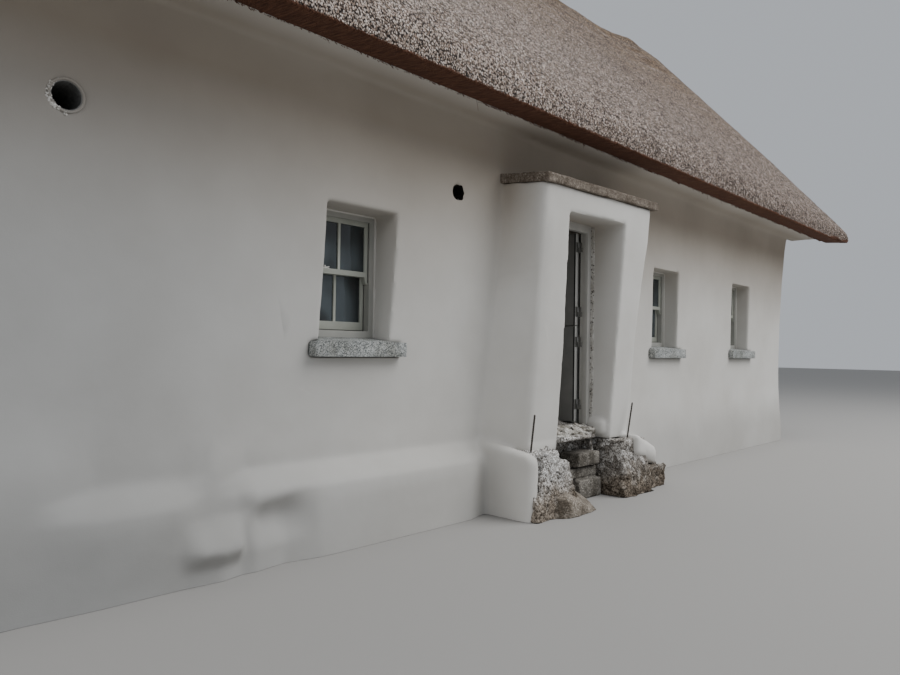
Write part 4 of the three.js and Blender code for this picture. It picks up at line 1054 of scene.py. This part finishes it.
# render pressed round the vent pipe, with mortar crumbs left and below, and one in the smaller hole
vent = {
    "ring": (0.0875, 0.0085),  # radii
    "crumbs": 60,
    "turn": (205, 38),  # middle and spread in degrees
    "reach": (0.082, 0.100),
    "holeCrumb": (-1.478, -2.90, 2.756),
}
ventX, ventZ = walls["ventHole"][:2]
around = points(limeWalls)
away = np.hypot(around[:, 0] - ventX, around[:, 2] - ventZ)
wallY = around[(away > 0.10) & (away < 0.15) & (around[:, 1] < -2.7)][:, 1].mean()
deselect()
bpy.ops.mesh.primitive_torus_add(
    major_segments=40, minor_segments=8, major_radius=vent["ring"][0], minor_radius=vent["ring"][1],
    location=(ventX, wallY + 0.004, ventZ), rotation=(math.pi / 2, 0, 0),
)
ventRing = settled()
ventRing.name = "ventRing"
dress(softened(ventRing, 0.0005, 1), "lime", "lime_render")
collar = []
for i in range(vent["crumbs"]):
    turn = math.radians(random.gauss(*vent["turn"]))
    reach = random.uniform(*vent["reach"])
    collar.append(Vector((ventX + reach * math.cos(turn), wallY - 0.003, ventZ + reach * math.sin(turn))))
collar.append(Vector(vent["holeCrumb"]))
strew("ventCollar", [(spot, Vector((0, -1, 0))) for spot in collar], "joint", "lime_render")

# lime splashed over the left edge of the footings
splashes = []
for i in range(70):
    z = random.uniform(0.13, 0.62)
    x = -0.965 + abs(random.gauss(0, 0.035)) + 0.03 * math.sin(z * 17)
    normal = Vector((random.gauss(-0.3, 0.3), -1, 0.2)).normalized()
    splashes.append((Vector((x, -3.445 - 0.04 * (0.62 - z), z)), normal))
strew("renderSplashes", splashes, "rubble", "lime_render")

threshold = {
    "moves": [((-9, -4, 0.6), (9, -3.2, 9), (0, 0, -0.03))],
    # place and direction of two cuts, which slant the front and undercut it
    "cuts": [((-0.1, -3.36, 0.6), (0.45, -1, 0)), ((0, -3.36, 0.628), (0, -0.226, -0.974))],
    "flags": 130,
}
thresholdBed = copyOf("thresholdBed", "threshold")
moveCorners(thresholdBed, threshold["moves"])
for place, normal in threshold["cuts"]:
    cutAt(place, Vector(normal).normalized())
roughStone(thresholdBed, *stone["bed"])
dress(thresholdBed, "rubble", "rubble", "threshold")
heap = surfaceSpots(
    thresholdBed, threshold["flags"], lambda p, n: n.z > 0.6 and p.y < -3.03 and p.x < 0.36
)
strew("thresholdStones", heap, "dustyFlags", "rubble")

# the boulder that the left footing bears on, and the dressed blocks between the footings
blocks = {
    "boulder": ((-0.50, -3.43, 0.03), (0.86, 0.32, 0.36)),
    # direction of each cut, and its distance from the middle
    "boulderCuts": [
        ((0.3, -0.5, 0.8), 0.12), ((-0.7, -0.6, 0.2), 0.24),
        ((0.9, -0.4, 0.1), 0.3), ((0.1, -0.95, 0.3), 0.13),
    ],
    "courses": [
        ((-0.03, -3.225, 0.325), (0.36, -3.0, 0.455)),
        ((-0.09, -3.17, 0.205), (0.39, -3.05, 0.30)),
        ((0.0, -3.215, 0.0), (0.41, -3.05, 0.185)),
        ((-0.38, -3.19, 0.0), (-0.02, -3.05, 0.15)),
    ],
    "arris": 0.012,
}
middle, size = blocks["boulder"]
deselect()
bpy.ops.mesh.primitive_ico_sphere_add(subdivisions=4, radius=0.5, location=middle, scale=size)
boulder = settled()
boulder.name = "footingBoulder"
for normal, reach in blocks["boulderCuts"]:
    way = Vector(normal).normalized()
    cutAt(Vector(middle) + way * reach, way)
roughStone(boulder, *stone["boulder"])
footUp(boulder)
dress(boulder, "sandstone", "rubble")
courses = [slab("course", *corners) for corners in blocks["courses"]]
for course in courses:
    apply(course, "BEVEL", width=blocks["arris"], segments=2, limit_method="ANGLE")
stepBlocks = roughStone(joined("stepBlocks", *courses), *stone["step"])
footUp(stepBlocks)
dress(stepBlocks, "blockstone", "rubble")
print("footings:", len(footings.data.polygons), len(rubbleStones.data.polygons))


# door

door = {
    "bevel": 0.004,
    "rebate": 0.053,  # from the frame's right side to the jamb that the hinges sit on
    "jambSeal": (0.705, 2.70),
    "shadeStrip": (0.0035, 0.016),  # thickness, width
    # width, height and thickness of a hinge's two flaps
    "jambFlap": (0.024, 0.106, 0.0018),
    "leafFlap": (0.046, 0.106, 0.0012),
    "flapBack": -2.9195,
    "leafEdge": (0.415, -2.902),  # corner of the open leaves beside the hinge pin
    # screw heads: shares of the flap's width and height, radius and depth, and how far they are sunk
    "screws": ((-0.25, 0.36), (0.25, 0.36), (0.0, 0.0), (-0.25, -0.36), (0.25, -0.36)),
    "screw": (0.0038, 0.0012),
    "screwSunk": 0.0003,
    # the joint beside the frame: place, foot and head, and the crumbs in it
    "gap": (0.470, -3.030, 0.70, 2.76),
    "crumbs": 120,
}
hingeNodes = ["lower_hinge_1", "lower_hinge_2", "upper_hinge_1", "upper_hinge_2"]


def screwed(x, y, z, runX, runY, height, turn):
    # the screw heads of one flap round its middle
    heads = []
    for across, up in door["screws"]:
        heads.append(rod(*door["screw"], (x + across * runX, y + across * runY, z + up * height), turn))
    return heads


doorFrame = softened(copyOf("doorFrame", "door_frame"), door["bevel"])
dress(doorFrame, "doorFrame", "frame_paint", "door_frame")
# painted shade: a black strip for the shadow in the gap along the hinge jamb, behind the flaps
jamb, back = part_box("door_frame")[1][0] - door["rebate"], door["flapBack"]
foot, head = door["jambSeal"]
jambSeal = slab("jambSeal", (jamb - 0.0008, back - 0.008, foot), (jamb + 0.001, back + 0.006, head))
dress(jambSeal, "shadeStrip", "frame_paint")
edgeX, edgeY = door["leafEdge"]
for name, node, body, hinges in (
    ("doorLeafLower", "door_leaf_lower", "lower_leaf", hingeNodes[:2]),
    ("doorLeafUpper", "door_leaf_upper", "upper_leaf", hingeNodes[2:]),
):
    leaf = softened(copyOf(name, node), door["bevel"])
    leaf.data.materials.append(finishes["door"])
    leaf.data.materials.append(finishes["edge"])
    for face in leaf.data.polygons:
        # painted highlight: the hinge edge, which faces the light, takes a lighter paint than the faces
        face.material_index = 1 if face.normal.y < -0.9 and face.center.y < -2.89 else 0
    dress(leaf, "door", "door_paint", node, body=body)
    low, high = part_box(node)
    # painted shade: a black strip on the leaf beside its hinge edge, for the shadow of the rebate
    thick, width = door["shadeStrip"]
    start = (low[0] - thick, edgeY + 0.001, low[2] + 0.004)
    shadeStrip = slab(name + "Seal", start, (low[0] + 0.001, edgeY + 0.001 + width, high[2] - 0.004))
    dress(softened(shadeStrip, 0.001), "shadeStrip", "door_paint", body=body)
    # the leaf's own flap of each hinge, let into its edge
    width, height, thick = door["leafFlap"]
    face = edgeY - thick
    flaps = []
    for hinge in hinges:
        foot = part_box(hinge)[0][2]
        end = (edgeX - 0.001, edgeY + 0.001, foot + height)
        flaps.append(slab("flap", (edgeX - width, face, foot), end))
        place = (edgeX - width / 2, face + door["screwSunk"], foot + height / 2)
        flaps += screwed(*place, width * 0.8, 0, height, (math.pi / 2, 0, 0))
    leafFlaps = softened(joined(name + "Flaps", *flaps), 0.0004, 1)
    dress(leafFlaps, "hinge", "hinge_steel", body=body)

# pressed steel butt hinges: rounded flaps on the jamb, five screws each
flaps = [copyOf("hinge", *hingeNodes)]
width, height, thick = door["jambFlap"]
for name in hingeNodes:
    x, y, z = jamb - thick / 2, back - width / 2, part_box(name)[0][2] + height / 2 - 0.001
    start = (x - thick / 2, y - width / 2, z - height / 2)
    flap = slab("flap", start, (x + thick / 2, y + width / 2, z + height / 2))
    bpy.ops.object.mode_set(mode="EDIT")
    bpy.ops.mesh.select_mode(type="EDGE")
    bpy.ops.mesh.select_all(action="DESELECT")
    bpy.ops.object.mode_set(mode="OBJECT")
    for edge in flap.data.edges:
        ends = [flap.data.vertices[i].co for i in edge.vertices]
        edge.select = abs(ends[0].x - ends[1].x) > thick / 2 and ends[0].y < y
    bpy.ops.object.mode_set(mode="EDIT")
    bpy.ops.mesh.bevel(offset=0.008, segments=4)
    bpy.ops.object.mode_set(mode="OBJECT")
    flaps.append(flap)
    flaps += screwed(x - thick / 2 + door["screwSunk"], y, z, 0, width, height, (0, math.pi / 2, 0))
doorHinges = softened(joined("doorHinges", *flaps), 0.0004, 1)
dress(doorHinges, "hinge", "hinge_steel", *hingeNodes)

# the joint between frame and reveal, roughly pointed: a band of mortar with crumbs and holes
gapX, gapY, foot, head = door["gap"]
band = slab("frameJoint", (gapX - 0.004, gapY - 0.032, foot), (gapX + 0.026, gapY + 0.008, head))
dress(roughStone(band, *stone["joint"]), "joint", "rubble")
crumbs = []
for i in range(door["crumbs"]):
    x, y = gapX + random.uniform(-0.008, 0.004), gapY - random.uniform(0, 0.034)
    spot = Vector((x, y, random.uniform(foot, head)))
    crumbs.append((spot, Vector((-0.5, -1, 0)).normalized()))
strew("jointCrumbs", crumbs, "joint", "rubble")
print("door hung")


# starter bars left sticking out of the footings: ribbed steel

ribs = {"pitch": 0.010, "radius": 0.0098, "thick": 0.005, "slant": 0.35}
rib = masterMesh(rod(1, 1, (0, 0, 0), sides=10))
barNodes = ["starter_bar_left", "starter_bar_right"]
ringPlaces = []
for name in barNodes:
    co = points(nodes[name])
    ends = [Vector(co[np.abs(co[:, 2] - z) < 0.004].mean(axis=0)) for z in (co[:, 2].min(), co[:, 2].max())]
    way = (ends[1] - ends[0]).normalized()
    upright = Vector((0, 0, 1)).rotation_difference(way).to_matrix()
    tilt = (upright @ Euler((ribs["slant"], 0, 0)).to_matrix()).to_4x4()
    size = Matrix.Diagonal((ribs["radius"], ribs["radius"], ribs["thick"], 1))
    for i in range(int((ends[1] - ends[0]).length / ribs["pitch"])):
        place = ends[0] + way * (i + 0.5) * ribs["pitch"]
        ringPlaces.append((0, Matrix.Translation(place) @ tilt @ size))
bars = copyOf("starterBars", *barNodes)
starterBars = joined("starterBars", bars, scatter("ribs", [rib], ringPlaces))
dress(starterBars, "rust", "rusty_steel", *barNodes)


# plain nodes keep their shape and take a finish

for name, finish in (("floor_slab", "concrete"), ("vent_pipe", "pvc")):
    nodes[name].data.materials.clear()
    nodes[name].data.materials.append(finishes[finish])
